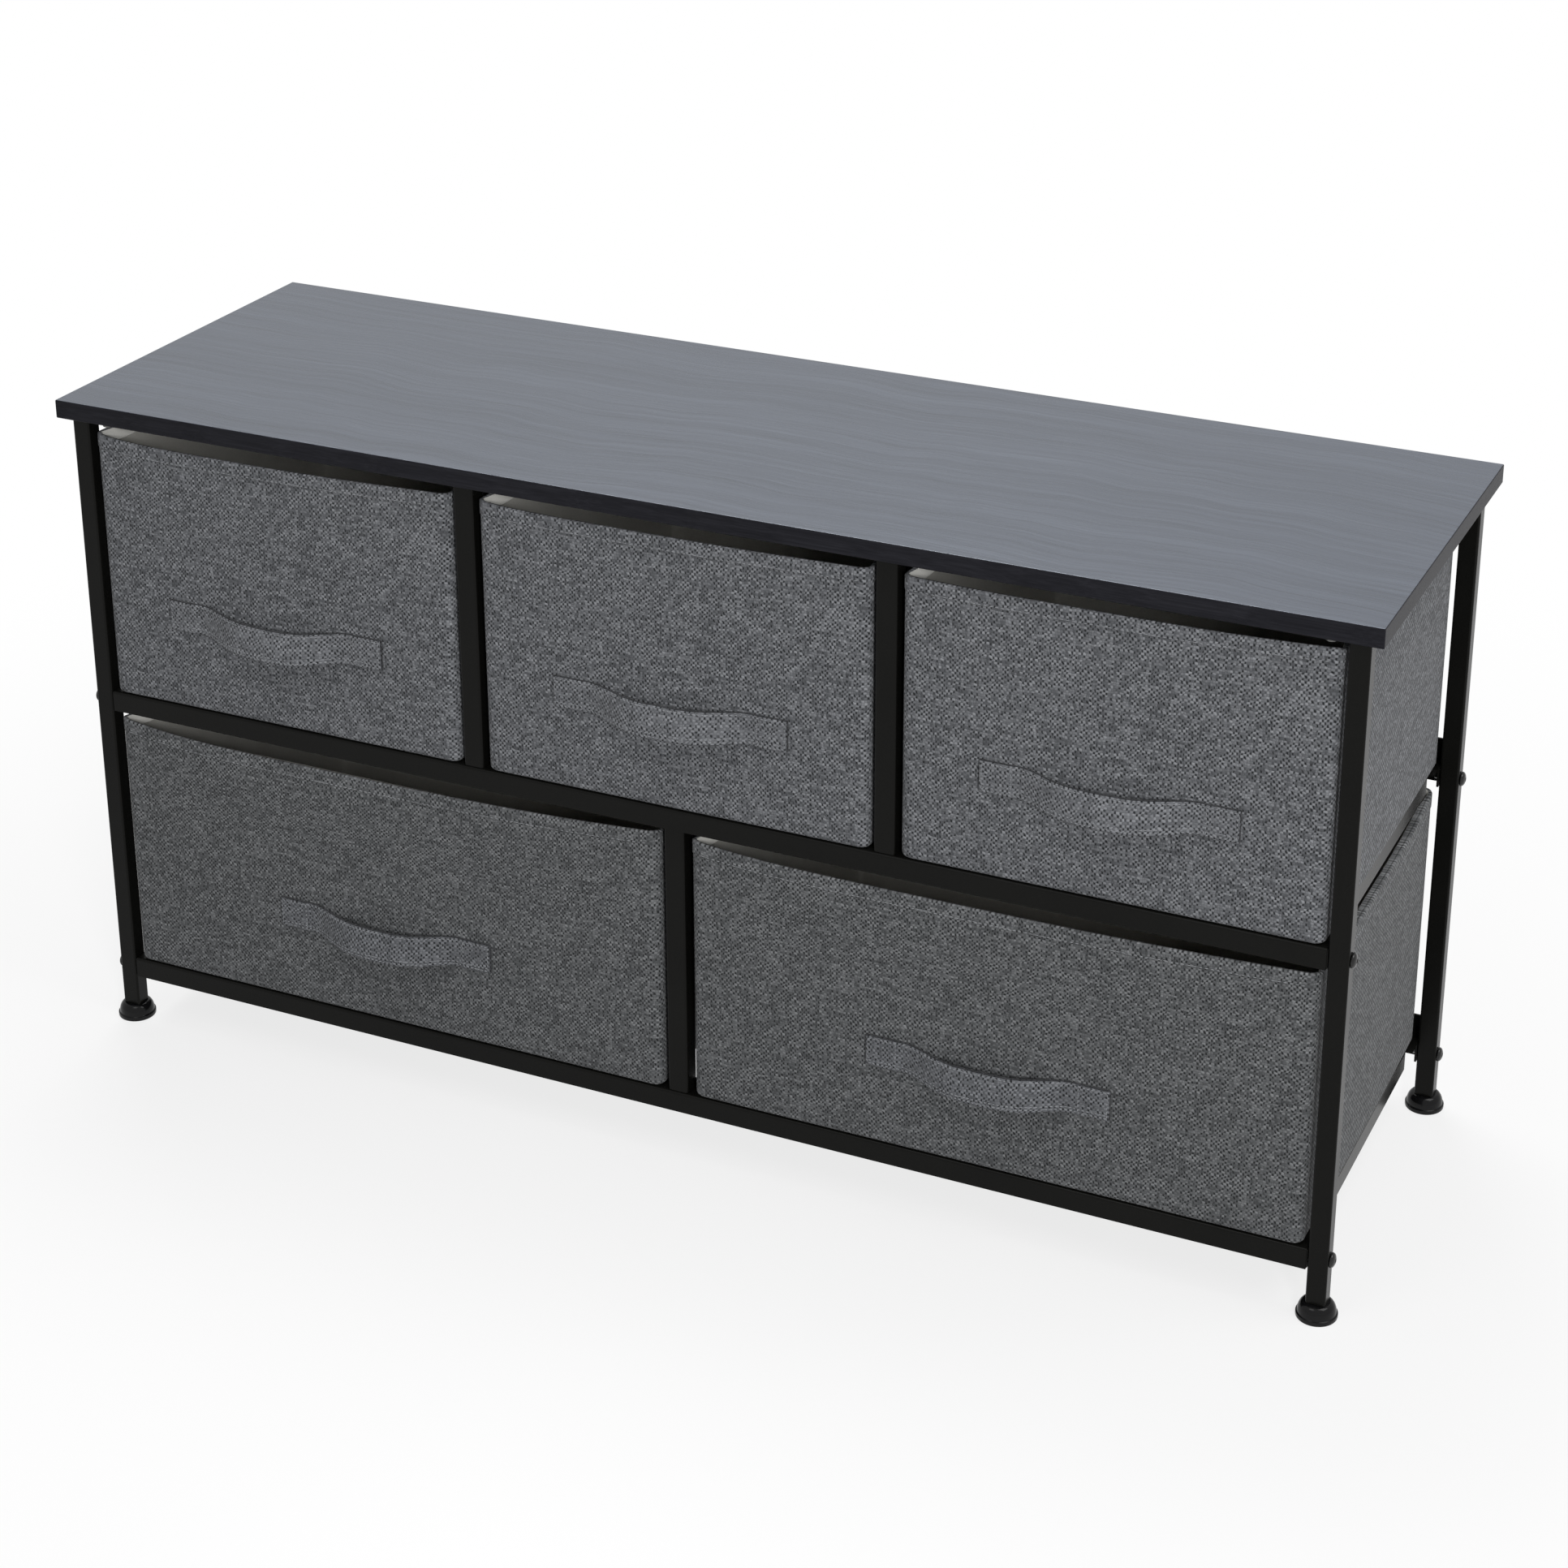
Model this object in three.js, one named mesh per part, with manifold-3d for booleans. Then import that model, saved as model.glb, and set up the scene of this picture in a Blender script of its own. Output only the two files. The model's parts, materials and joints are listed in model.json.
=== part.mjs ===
// A low, wide dresser: a laminate board on a steel frame of rectangular tube and
// folded angle rails, with three fabric bins above two wider ones.
// Millimetres, +X to the right, +Y to the back, +Z up, the floor at Z zero.
import * as THREE from "three";
import { mergeVertices } from "three/addons/utils/BufferGeometryUtils.js";
import Module from "manifold-3d";

const wasm = await Module();
wasm.setup();

// Overall sizes
const overallHeight = 518.4;
const boardWidth = 1000;
const boardDepth = 315;
const boardThickness = 14;
const boardEdgeRound = 1.2;

// Clearances
const seatGap = 0.3; // between pieces that rest on or lie in each other
const cutOverrun = 3; // how far a cutter reaches past what it cuts
const weldDistance = 0.0005; // vertices nearer than this are one vertex

// Legs of rectangular tube
const legWidth = 14.3;
const legDepth = 13;
const legWall = 1.2;
const legCornerRound = 1.6;
const legSideInset = 9.5; // from the board's side edge to the leg's outer face
const legFrontInset = 6.3; // from the board's front or back edge to the leg's face
const legTabReach = 26; // how far the welded top tab runs towards the middle
const legTabGauge = 2;

// Push-in feet
const footDiameter = 29.1;
const footHeight = 12;
const footRimHeight = 3.6;
const footRimLedge = 0.95; // how far the rim stands out from the dome
const footSoleRound = 1;
const footNeckDiameter = 17;
const footPlugLength = 18;
const footPlugLead = 1.5; // chamfer that leads the plug into the tube

// Folded steel rails
const railGauge = 1.5;
const railFlange = 16; // height of the flange that hangs below the ledge
const railLedge = 25; // depth of the ledge that carries the bins
const railBend = 2; // outer radius of the fold
const railTabTrim = 1; // how much shorter an end tab is than the flange
const backStopHeight = 18.5; // how far the back rail stands above its ledge
const sideRailSetback = 6; // from the leg's inner face to the side rail
const sideRailLedge = 20;
const lowLedgeHeight = 54.5; // top of the lower ledge above the floor
const midLedgeHeight = 285; // top of the upper ledge above the floor

// Dividers of square tube between the bins
const dividerWidth = 16;
const dividerDepth = 15;
const dividerWall = 1.2;
const dividerCornerRound = 1.8;
const dividerPlateReach = 3; // how far the head plate stands out at each side
const dividerPlateGauge = 2;

// Dome-headed bolts through the legs
const boltHeadDiameter = 10.7;
const boltHeadHeight = 3.4;
const boltHeadEdge = 0.7;
const boltShankDiameter = 6;
const boltHoleClearance = 0.35; // all round the shank
const boltTip = 3; // length past the rail's end tab

// Wood screws through the leg tabs
const screwHeadDiameter = 8;
const screwHeadHeight = 2.2;
const screwShankDiameter = 4;
const screwLength = 11;

// Fabric bins
const upperBinHeadroom = 10; // from an upper bin's rim to the board
const lowerBinHeadroom = 5.1; // from a lower bin's rim to the flange above it
const binFrontSetback = 0.7; // from the legs' front faces to the bin's front
const binBackGap = 3; // from the bin to the back rail's stop
const binSeat = 0.4; // from the ledge to the bin's underside
const upperBinSideGap = 4.6; // from a bin to the leg or divider beside it
const lowerBinSideGap = 6;
const binWall = 3;
const binFrontWall = 3.5;
const binFloor = 2.5;
const binCornerRound = 7;
const binHem = 11; // depth of the hem along the rim

// Stiffeners inside the bins
const baseBoardThickness = 3;
const frontBoardThickness = 4;
const stiffenerGap = 0.4;

// Strap handles
const handleLength = 182;
const handleWidth = 24;
const handleThickness = 2.4;
const handlePatch = 25; // length of each end, sewn flat on the bin's front
const handleBulge = 16.5; // from the bin's front to the strap's middle
const handleDroop = 1; // how far the middle hangs below the ends
const handleFlatness = 3; // power that keeps the strap's middle nearly straight
const handleRunout = 2.5; // power that lets the bow run softly into its ends
const handleHeight = 76; // the ends' centre above the bin's underside

// Steps of round stretches
const cornerSteps = 3;
const boltSides = 14;
const boltDomeSteps = 4;
const footSides = 30;
const footDomeSteps = 5;
const handleSteps = 20;
const upperBinCount = 3;
const lowerBinCount = 2;

// Places worked out from the sizes above
const boardUnderside = overallHeight - boardThickness;
const legOuterX = boardWidth / 2 - legSideInset;
const legInnerX = legOuterX - legWidth;
const legCentreX = legOuterX - legWidth / 2;
const frameFrontY = boardDepth / 2 - legFrontInset; // distance from the middle to the legs' outer faces
const legCentreY = frameFrontY - legDepth / 2;
const legTop = boardUnderside - seatGap;
const legBottom = footHeight + seatGap;
const ledgeHeights = { low: lowLedgeHeight, mid: midLedgeHeight };
const boltDrop = railFlange / 2; // the bolt's axis below the ledge
const binFrontY = -(frameFrontY - binFrontSetback);
const binBackY = frameFrontY - railGauge - binBackGap;
const binDepth = binBackY - binFrontY;
const upperBinHeight = boardUnderside - upperBinHeadroom - midLedgeHeight - binSeat;
const lowerBinHeight = midLedgeHeight - railFlange - lowerBinHeadroom - lowLedgeHeight - binSeat;
const handleFrontY = binFrontY - seatGap - handleBulge - handleThickness;

const finishes = {
  laminate: { color: 0x35363a, roughness: 0.42, metalness: 0 },
  powderCoat: { color: 0x1c1c1a, roughness: 0.4, metalness: 0.1 },
  footPlastic: { color: 0x101011, roughness: 0.2, metalness: 0 },
  boltSteel: { color: 0x161616, roughness: 0.3, metalness: 0.6 },
  screwSteel: { color: 0x9a9a98, roughness: 0.35, metalness: 1 },
  linen: { color: 0x5d5f63, roughness: 0.95, metalness: 0 },
  strap: { color: 0x55575b, roughness: 0.95, metalness: 0 },
  fibreboard: { color: 0x94908a, roughness: 0.8, metalness: 0 },
};

const axisX = new THREE.Vector3(1, 0, 0);
const axisY = new THREE.Vector3(0, 1, 0);
const axisZ = new THREE.Vector3(0, 0, 1);

// A closed three.js geometry as a solid that can be joined and cut.
function toSolid(geometry) {
  const bare = geometry.clone();
  bare.deleteAttribute("normal");
  bare.deleteAttribute("uv");
  const merged = mergeVertices(bare, weldDistance);
  const indices = Array.from(merged.index.array);
  const kept = [];
  for (let i = 0; i < indices.length; i += 3) {
    const [a, b, c] = indices.slice(i, i + 3);
    if (a !== b && b !== c && c !== a) {
      kept.push(a, b, c);
    }
  }
  return new wasm.Manifold(
    new wasm.Mesh({
      numProp: 3,
      vertProperties: Float32Array.from(merged.attributes.position.array),
      triVerts: Uint32Array.from(kept),
    }),
  );
}

function toGeometry(solid) {
  const { vertProperties, triVerts } = solid.getMesh();
  const geometry = new THREE.BufferGeometry();
  geometry.setAttribute("position", new THREE.BufferAttribute(Float32Array.from(vertProperties), 3));
  geometry.setIndex(new THREE.BufferAttribute(Uint32Array.from(triVerts), 1));
  geometry.computeVertexNormals();
  return geometry;
}

function join(...geometries) {
  return toGeometry(geometries.map(toSolid).reduce((whole, next) => whole.add(next)));
}

function cut(body, ...cutters) {
  return toGeometry(cutters.map(toSolid).reduce((rest, next) => rest.subtract(next), toSolid(body)));
}

// A rectangle about the origin with round corners.
function roundedRectangle(width, depth, radius) {
  const x = width / 2 - radius;
  const y = depth / 2 - radius;
  const shape = new THREE.Shape();
  shape.absarc(x, -y, radius, -Math.PI / 2, 0);
  shape.absarc(x, y, radius, 0, Math.PI / 2);
  shape.absarc(-x, y, radius, Math.PI / 2, Math.PI);
  shape.absarc(-x, -y, radius, Math.PI, (3 * Math.PI) / 2);
  shape.closePath();
  return shape;
}

// A prism along Z that starts at Z zero.
function prism(shape, length) {
  return new THREE.ExtrudeGeometry(shape, {
    depth: length,
    bevelEnabled: false,
    curveSegments: cornerSteps,
  });
}

// A prism about the origin along X, of a section drawn as (Y, Z).
function prismAlongX(shape, length) {
  const turned = new THREE.Matrix4().makeBasis(axisY, axisZ, axisX);
  return prism(shape, length).translate(0, 0, -length / 2).applyMatrix4(turned);
}

function block(width, depth, height) {
  return new THREE.BoxGeometry(width, depth, height);
}

// A round bar about the origin along X.
function barAlongX(diameter, length) {
  const radius = diameter / 2;
  return new THREE.CylinderGeometry(radius, radius, length, boltSides).rotateZ(Math.PI / 2);
}

// A round bar about the origin along Z.
function barAlongZ(diameter, length) {
  const radius = diameter / 2;
  return new THREE.CylinderGeometry(radius, radius, length, boltSides).rotateX(Math.PI / 2);
}

// A rectangular tube that stands on Z zero.
function tube(width, depth, wall, cornerRound, length) {
  const shape = roundedRectangle(width, depth, cornerRound);
  const bore = roundedRectangle(width - 2 * wall, depth - 2 * wall, cornerRound - wall);
  shape.holes.push(new THREE.Path(bore.getPoints(cornerSteps).reverse()));
  return prism(shape, length);
}

function piece(name, geometry, finish) {
  const mesh = new THREE.Mesh(geometry, new THREE.MeshStandardMaterial(finish));
  mesh.name = name;
  return mesh;
}

// The screw through a leg's tab, which also sets its hole in the board.
const legTabCentreX = legInnerX - legTabReach / 2;
const screwPilotDiameter = screwShankDiameter + 2 * seatGap;

// The four corners of the frame, with the signs of X and Y.
const corners = [
  { name: "front_left", sideX: -1, sideY: -1 },
  { name: "front_right", sideX: 1, sideY: -1 },
  { name: "back_left", sideX: -1, sideY: 1 },
  { name: "back_right", sideX: 1, sideY: 1 },
];

function makeBoard() {
  const outline = new THREE.Shape();
  const halfWidth = boardWidth / 2 - boardEdgeRound;
  const halfDepth = boardDepth / 2 - boardEdgeRound;
  outline.moveTo(-halfWidth, -halfDepth);
  outline.lineTo(halfWidth, -halfDepth);
  outline.lineTo(halfWidth, halfDepth);
  outline.lineTo(-halfWidth, halfDepth);
  outline.closePath();
  const slab = new THREE.ExtrudeGeometry(outline, {
    depth: boardThickness - 2 * boardEdgeRound,
    bevelEnabled: true,
    bevelThickness: boardEdgeRound,
    bevelSize: boardEdgeRound,
    bevelSegments: 2,
  }).translate(0, 0, boardUnderside + boardEdgeRound);
  const depth = screwLength - legTabGauge;
  const pilots = corners.map(({ sideX, sideY }) =>
    barAlongZ(screwPilotDiameter, depth + cutOverrun).translate(
      sideX * legTabCentreX,
      sideY * legCentreY,
      boardUnderside + depth / 2 - cutOverrun / 2 + seatGap,
    ),
  );
  return piece("top_board", cut(slab, ...pilots), finishes.laminate);
}

// A leg with its welded tab at the head and a bolt hole at each rail.
function makeLeg({ name, sideX, sideY }) {
  const length = legTop - legBottom;
  const post = tube(legWidth, legDepth, legWall, legCornerRound, length - legTabGauge / 2);
  post.translate(0, 0, legBottom);
  const tabWidth = legWidth - legCornerRound + legTabReach;
  const tab = block(tabWidth, legDepth - legCornerRound, legTabGauge).translate(
    sideX * (legWidth / 2 - legCornerRound - tabWidth / 2),
    0,
    legTop - legTabGauge / 2,
  );
  const screwHole = barAlongZ(screwPilotDiameter, legTabGauge + 2 * cutOverrun).translate(
    sideX * (legTabCentreX - legCentreX),
    0,
    legTop - legTabGauge / 2,
  );
  const holeDiameter = boltShankDiameter + 2 * boltHoleClearance;
  const boltHoles = Object.values(ledgeHeights).map((height) =>
    barAlongX(holeDiameter, legWidth + 2 * cutOverrun).translate(0, 0, height - boltDrop),
  );
  const mesh = piece(`leg_${name}`, cut(join(post, tab), screwHole, ...boltHoles), finishes.powderCoat);
  mesh.position.set(sideX * legCentreX, sideY * legCentreY, 0);
  return mesh;
}

// A domed foot with the plug that is pushed into the leg's tube.
function makeFoot({ name, sideX, sideY }) {
  const rim = footDiameter / 2;
  const domeEdge = rim - footRimLedge;
  const neck = footNeckDiameter / 2;
  const profile = [
    new THREE.Vector2(0, 0),
    new THREE.Vector2(rim - footSoleRound, 0),
    new THREE.Vector2(rim, footSoleRound),
    new THREE.Vector2(rim, footRimHeight),
  ];
  for (let i = 0; i <= footDomeSteps; i += 1) {
    const angle = (i / footDomeSteps) * (Math.PI / 2);
    profile.push(
      new THREE.Vector2(
        neck + (domeEdge - neck) * Math.cos(angle),
        footRimHeight + (footHeight - footRimHeight) * Math.sin(angle),
      ),
    );
  }
  profile.push(new THREE.Vector2(0, footHeight));
  const dome = new THREE.LatheGeometry(profile, footSides).rotateX(Math.PI / 2);
  const plugWidth = legWidth - 2 * (legWall + seatGap);
  const plugDepth = legDepth - 2 * (legWall + seatGap);
  const plug = new THREE.ExtrudeGeometry(
    roundedRectangle(plugWidth - 2 * footPlugLead, plugDepth - 2 * footPlugLead, footPlugLead / 2),
    {
      depth: footPlugLength + cutOverrun - 2 * footPlugLead,
      bevelEnabled: true,
      bevelThickness: footPlugLead,
      bevelSize: footPlugLead,
      bevelSegments: 1,
      curveSegments: cornerSteps,
    },
  ).translate(0, 0, footHeight - cutOverrun + footPlugLead);
  const mesh = piece(`foot_${name}`, join(dome, plug), finishes.footPlastic);
  mesh.position.set(sideX * legCentreX, sideY * legCentreY, 0);
  return mesh;
}

// The section of a folded angle: the flange hangs down at zero, the ledge runs to
// positive first coordinate, and the ledge's top is at zero.
function angleSection(flange, ledge) {
  const inner = railBend - railGauge;
  const shape = new THREE.Shape();
  shape.moveTo(0, -flange);
  shape.lineTo(railGauge, -flange);
  shape.lineTo(railGauge, -railGauge - inner);
  shape.absarc(railGauge + inner, -railGauge - inner, inner, Math.PI, Math.PI / 2, true);
  shape.lineTo(ledge, -railGauge);
  shape.lineTo(ledge, 0);
  shape.lineTo(railBend, 0);
  shape.absarc(railBend, -railBend, railBend, Math.PI / 2, Math.PI);
  shape.closePath();
  return shape;
}

// The back rail's section: an upright strip with the ledge on its front.
function stopSection() {
  const shape = new THREE.Shape();
  shape.moveTo(0, -railFlange);
  shape.lineTo(railGauge, -railFlange);
  shape.lineTo(railGauge, -railGauge);
  shape.lineTo(railLedge, -railGauge);
  shape.lineTo(railLedge, 0);
  shape.lineTo(railGauge, 0);
  shape.lineTo(railGauge, backStopHeight);
  shape.lineTo(0, backStopHeight);
  shape.closePath();
  return shape;
}

// A rail between two legs, with a drilled tab at each end that the bolt goes through.
function makeCrossRail(level, end) {
  const length = 2 * (legInnerX - seatGap);
  const section = end === "front" ? angleSection(railFlange, railLedge) : stopSection();
  const body = prismAlongX(section, length - railGauge);
  const tabDepth = legDepth - railGauge / 2;
  const tabHeight = railFlange - railGauge / 2 - railTabTrim;
  const tabs = [-1, 1].map((side) =>
    block(railGauge, tabDepth, tabHeight).translate(
      side * (length / 2 - railGauge / 2),
      railGauge / 2 + tabDepth / 2,
      -railGauge / 2 - tabHeight / 2,
    ),
  );
  const hole = barAlongX(boltShankDiameter + 2 * boltHoleClearance, length + 2 * cutOverrun);
  hole.translate(0, legDepth / 2, -boltDrop);
  const mesh = piece(`rail_${level}_${end}`, cut(join(body, ...tabs), hole), finishes.powderCoat);
  mesh.position.set(0, -frameFrontY, ledgeHeights[level]);
  if (end === "back") {
    mesh.position.y = frameFrontY;
    mesh.rotation.z = Math.PI;
  }
  return mesh;
}

// A side rail welded between the ledges of the front and back rails.
function makeSideRail(level, side) {
  const length = 2 * (frameFrontY - railLedge - seatGap);
  const body = prismAlongX(angleSection(railFlange, sideRailLedge), length);
  const sign = side === "left" ? -1 : 1;
  const mesh = piece(`rail_${level}_${side}`, body, finishes.powderCoat);
  mesh.rotation.z = (sign * Math.PI) / 2;
  mesh.position.set(sign * (legInnerX - sideRailSetback), 0, ledgeHeights[level]);
  return mesh;
}

// A divider stands on a ledge, behind the flange of the rail above it.
function makeDivider(name, x, sideY, bottom, top, headPlate) {
  const length = top - bottom;
  const postLength = headPlate ? length - dividerPlateGauge / 2 : length;
  let body = tube(dividerWidth, dividerDepth, dividerWall, dividerCornerRound, postLength);
  if (headPlate) {
    const width = dividerWidth + 2 * dividerPlateReach;
    const plate = block(width, dividerDepth - dividerCornerRound, dividerPlateGauge);
    body = join(body, plate.translate(0, 0, length - dividerPlateGauge / 2));
  }
  const mesh = piece(name, body, finishes.powderCoat);
  const fromMiddle = frameFrontY - railGauge - seatGap - dividerDepth / 2;
  mesh.position.set(x, sideY * fromMiddle, bottom);
  return mesh;
}

function makeBolt(level, { name, sideX, sideY }) {
  const head = boltHeadDiameter / 2;
  const shank = boltShankDiameter / 2;
  const length = legWidth + 2 * seatGap + railGauge + boltTip;
  const profile = [
    new THREE.Vector2(0, -length),
    new THREE.Vector2(shank, -length),
    new THREE.Vector2(shank, 0),
    new THREE.Vector2(head, 0),
  ];
  for (let i = 0; i < boltDomeSteps; i += 1) {
    const angle = (i / boltDomeSteps) * (Math.PI / 2);
    profile.push(
      new THREE.Vector2(
        head * Math.cos(angle),
        boltHeadEdge + (boltHeadHeight - boltHeadEdge) * Math.sin(angle),
      ),
    );
  }
  profile.push(new THREE.Vector2(0, boltHeadHeight));
  const body = new THREE.LatheGeometry(profile, boltSides).rotateZ((-sideX * Math.PI) / 2);
  const mesh = piece(`bolt_${level}_${name}`, body, finishes.boltSteel);
  mesh.position.set(
    sideX * (legOuterX + seatGap),
    sideY * legCentreY,
    ledgeHeights[level] - boltDrop,
  );
  return mesh;
}

// A screw through a leg's tab into the board, its head below the tab.
function makeScrew({ name, sideX, sideY }) {
  const head = barAlongZ(screwHeadDiameter, screwHeadHeight).translate(0, 0, -screwHeadHeight / 2);
  const shank = barAlongZ(screwShankDiameter, screwLength).translate(0, 0, screwLength / 2 - seatGap);
  const mesh = piece(`screw_${name}`, join(head, shank), finishes.screwSteel);
  mesh.position.set(sideX * legTabCentreX, sideY * legCentreY, legTop - legTabGauge - seatGap);
  return mesh;
}

// A fabric bin: an open box with a round upright edge at each corner.
function makeBinShell(width, height) {
  const outside = prism(roundedRectangle(width, binDepth, binCornerRound), height);
  const insideWidth = width - 2 * binWall;
  const insideDepth = binDepth - binWall - binFrontWall;
  const inside = prism(
    roundedRectangle(insideWidth, insideDepth, binCornerRound - binWall),
    height + cutOverrun,
  ).translate(0, (binFrontWall - binWall) / 2, binFloor);
  return cut(outside, inside);
}

function makeBaseBoard(width) {
  const insideWidth = width - 2 * (binWall + stiffenerGap);
  const insideDepth = binDepth - binWall - binFrontWall - 2 * stiffenerGap;
  return prism(
    roundedRectangle(insideWidth, insideDepth, binCornerRound - binWall),
    baseBoardThickness,
  ).translate(0, (binFrontWall - binWall) / 2, binFloor + seatGap);
}

function makeFrontBoard(width, height) {
  const bottom = binFloor + seatGap + baseBoardThickness + seatGap;
  const panelHeight = height - binHem - bottom;
  const panelWidth = width - 2 * binCornerRound;
  return block(panelWidth, frontBoardThickness, panelHeight).translate(
    0,
    binFrontWall + stiffenerGap + frontBoardThickness / 2 - binDepth / 2,
    bottom + panelHeight / 2,
  );
}

// How far the strap stands out from the bin's front, as a share of its bulge, at a
// distance along the strap from its middle.
function bulgeShare(along) {
  const free = handleLength - 2 * handlePatch;
  const reach = Math.min(Math.abs(along) / (free / 2), 1);
  return (1 - reach ** handleFlatness) ** handleRunout;
}

// A strap handle, drawn in plan: its ends lie flat, and its middle stands out and droops.
function makeHandle() {
  const stations = [-handleLength / 2];
  const free = handleLength - 2 * handlePatch;
  for (let i = 0; i <= handleSteps; i += 1) {
    stations.push((i / handleSteps - 1 / 2) * free);
  }
  stations.push(handleLength / 2);
  const inner = stations.map((x) => new THREE.Vector2(x, -handleBulge * bulgeShare(x)));
  const outer = stations.map((x) => {
    const y = -handleBulge * bulgeShare(x) - handleThickness;
    return new THREE.Vector2(x, y);
  });
  const strap = prism(new THREE.Shape([...outer, ...inner.reverse()]), handleWidth);
  strap.translate(0, 0, handleHeight - handleWidth / 2);
  const points = strap.attributes.position;
  for (let i = 0; i < points.count; i += 1) {
    points.setZ(i, points.getZ(i) - handleDroop * bulgeShare(points.getX(i)));
  }
  return strap.translate(0, -binDepth / 2 - seatGap, 0);
}

// A bin with its stiffeners and its handle, in a group that stands on its ledge.
function makeBin(name, width, height, x, ledge) {
  const bin = new THREE.Group();
  bin.add(piece(`${name}_shell`, makeBinShell(width, height), finishes.linen));
  bin.add(piece(`${name}_base_board`, makeBaseBoard(width), finishes.fibreboard));
  bin.add(piece(`${name}_front_board`, makeFrontBoard(width, height), finishes.fibreboard));
  bin.add(piece(`${name}_handle`, makeHandle(), finishes.strap));
  bin.position.set(x, (binFrontY + binBackY) / 2, ledge + binSeat);
  return bin;
}

// The middles of equal bays between the legs, parted by dividers.
function bayWidth(count) {
  return (2 * legInnerX - (count - 1) * dividerWidth) / count;
}

function bayCentres(count) {
  const pitch = bayWidth(count) + dividerWidth;
  return Array.from({ length: count }, (_, i) => (i - (count - 1) / 2) * pitch);
}

const dresser = new THREE.Group();
dresser.add(makeBoard());
for (const corner of corners) {
  dresser.add(makeLeg(corner), makeFoot(corner), makeScrew(corner));
}
for (const level of Object.keys(ledgeHeights)) {
  dresser.add(makeCrossRail(level, "front"), makeCrossRail(level, "back"));
  dresser.add(makeSideRail(level, "left"), makeSideRail(level, "right"));
  for (const corner of corners) {
    dresser.add(makeBolt(level, corner));
  }
}

const ends = [
  { end: "front", sideY: -1 },
  { end: "back", sideY: 1 },
];
const upperDividerX = (bayWidth(upperBinCount) + dividerWidth) / 2;
for (const { end, sideY } of ends) {
  const standing = midLedgeHeight + seatGap;
  const head = boardUnderside - seatGap;
  dresser.add(makeDivider(`divider_upper_${end}_left`, -upperDividerX, sideY, standing, head, true));
  dresser.add(makeDivider(`divider_upper_${end}_right`, upperDividerX, sideY, standing, head, true));
  const low = lowLedgeHeight + seatGap;
  const underMid = midLedgeHeight - railGauge - seatGap;
  dresser.add(makeDivider(`divider_lower_${end}`, 0, sideY, low, underMid, false));
}

const upperNames = ["bin_upper_left", "bin_upper_middle", "bin_upper_right"];
const upperWidth = bayWidth(upperBinCount) - 2 * upperBinSideGap;
bayCentres(upperBinCount).forEach((x, i) => {
  dresser.add(makeBin(upperNames[i], upperWidth, upperBinHeight, x, midLedgeHeight));
});
const lowerNames = ["bin_lower_left", "bin_lower_right"];
const lowerWidth = bayWidth(lowerBinCount) - 2 * lowerBinSideGap;
bayCentres(lowerBinCount).forEach((x, i) => {
  dresser.add(makeBin(lowerNames[i], lowerWidth, lowerBinHeight, x, lowLedgeHeight));
});

// The origin lies under the middle of the whole, handles included.
dresser.position.y = -(handleFrontY + boardDepth / 2) / 2;

const group = new THREE.Group();
group.add(dresser);

export default group;
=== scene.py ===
"""A low fabric-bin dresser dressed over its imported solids.

The frame's tubes, rails and screws keep their solids and get their finishes.
The board, bins, straps, feet and bolts are modelled again in full detail.
Lengths are in metres, +X to the right, +Y to the back and +Z up.
"""

import json
import logging
import math
from collections.abc import Callable, Iterable, Sequence
from dataclasses import dataclass, field
from enum import Enum

import bmesh
import bpy
from mathutils import Matrix, Quaternion, Vector, noise

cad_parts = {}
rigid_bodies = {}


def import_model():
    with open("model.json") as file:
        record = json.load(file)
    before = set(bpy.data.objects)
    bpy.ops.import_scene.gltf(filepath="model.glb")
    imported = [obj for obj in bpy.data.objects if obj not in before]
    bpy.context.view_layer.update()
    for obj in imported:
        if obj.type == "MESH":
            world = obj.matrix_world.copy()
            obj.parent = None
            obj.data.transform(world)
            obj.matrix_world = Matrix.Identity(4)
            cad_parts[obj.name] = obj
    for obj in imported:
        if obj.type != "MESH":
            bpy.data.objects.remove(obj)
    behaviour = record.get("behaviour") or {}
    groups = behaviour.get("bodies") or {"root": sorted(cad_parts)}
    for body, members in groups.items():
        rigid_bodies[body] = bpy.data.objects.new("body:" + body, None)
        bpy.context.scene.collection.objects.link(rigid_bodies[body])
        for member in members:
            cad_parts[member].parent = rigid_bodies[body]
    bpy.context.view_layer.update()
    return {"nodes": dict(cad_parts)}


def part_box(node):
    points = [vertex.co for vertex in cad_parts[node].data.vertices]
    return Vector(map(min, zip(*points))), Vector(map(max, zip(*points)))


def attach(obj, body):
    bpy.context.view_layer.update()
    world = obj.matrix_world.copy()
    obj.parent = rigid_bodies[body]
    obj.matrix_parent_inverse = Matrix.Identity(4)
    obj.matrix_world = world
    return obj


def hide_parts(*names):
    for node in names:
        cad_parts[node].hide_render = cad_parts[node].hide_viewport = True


log = logging.getLogger("dresser")

Colour = tuple[float, float, float]
Place = Callable[[Vector], Vector]
Girth = Callable[[Vector, Vector], float]
Pair = tuple[float, float]
Materials = dict[str, bpy.types.Material]

MM = 0.001
X_AXIS = Vector((1.0, 0.0, 0.0))
Y_AXIS = Vector((0.0, 1.0, 0.0))
Z_AXIS = Vector((0.0, 0.0, 1.0))
CLOTH_UV = "cloth"
WHITE = (1.0, 1.0, 1.0, 1.0)

# Detail and roughness of the noise in yarn, grain and paint, and in matted fibres.
FINE_NOISE = (3.0, 0.6)
MATTED_NOISE = (4.0, 0.7)
# Detail of the broad clouds that lie over them, and the range and middle of most noise.
CLOUD_DETAIL = 3.0
NOISE_LOW, NOISE_MIDDLE, NOISE_HIGH = 0.3, 0.5, 0.7

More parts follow.
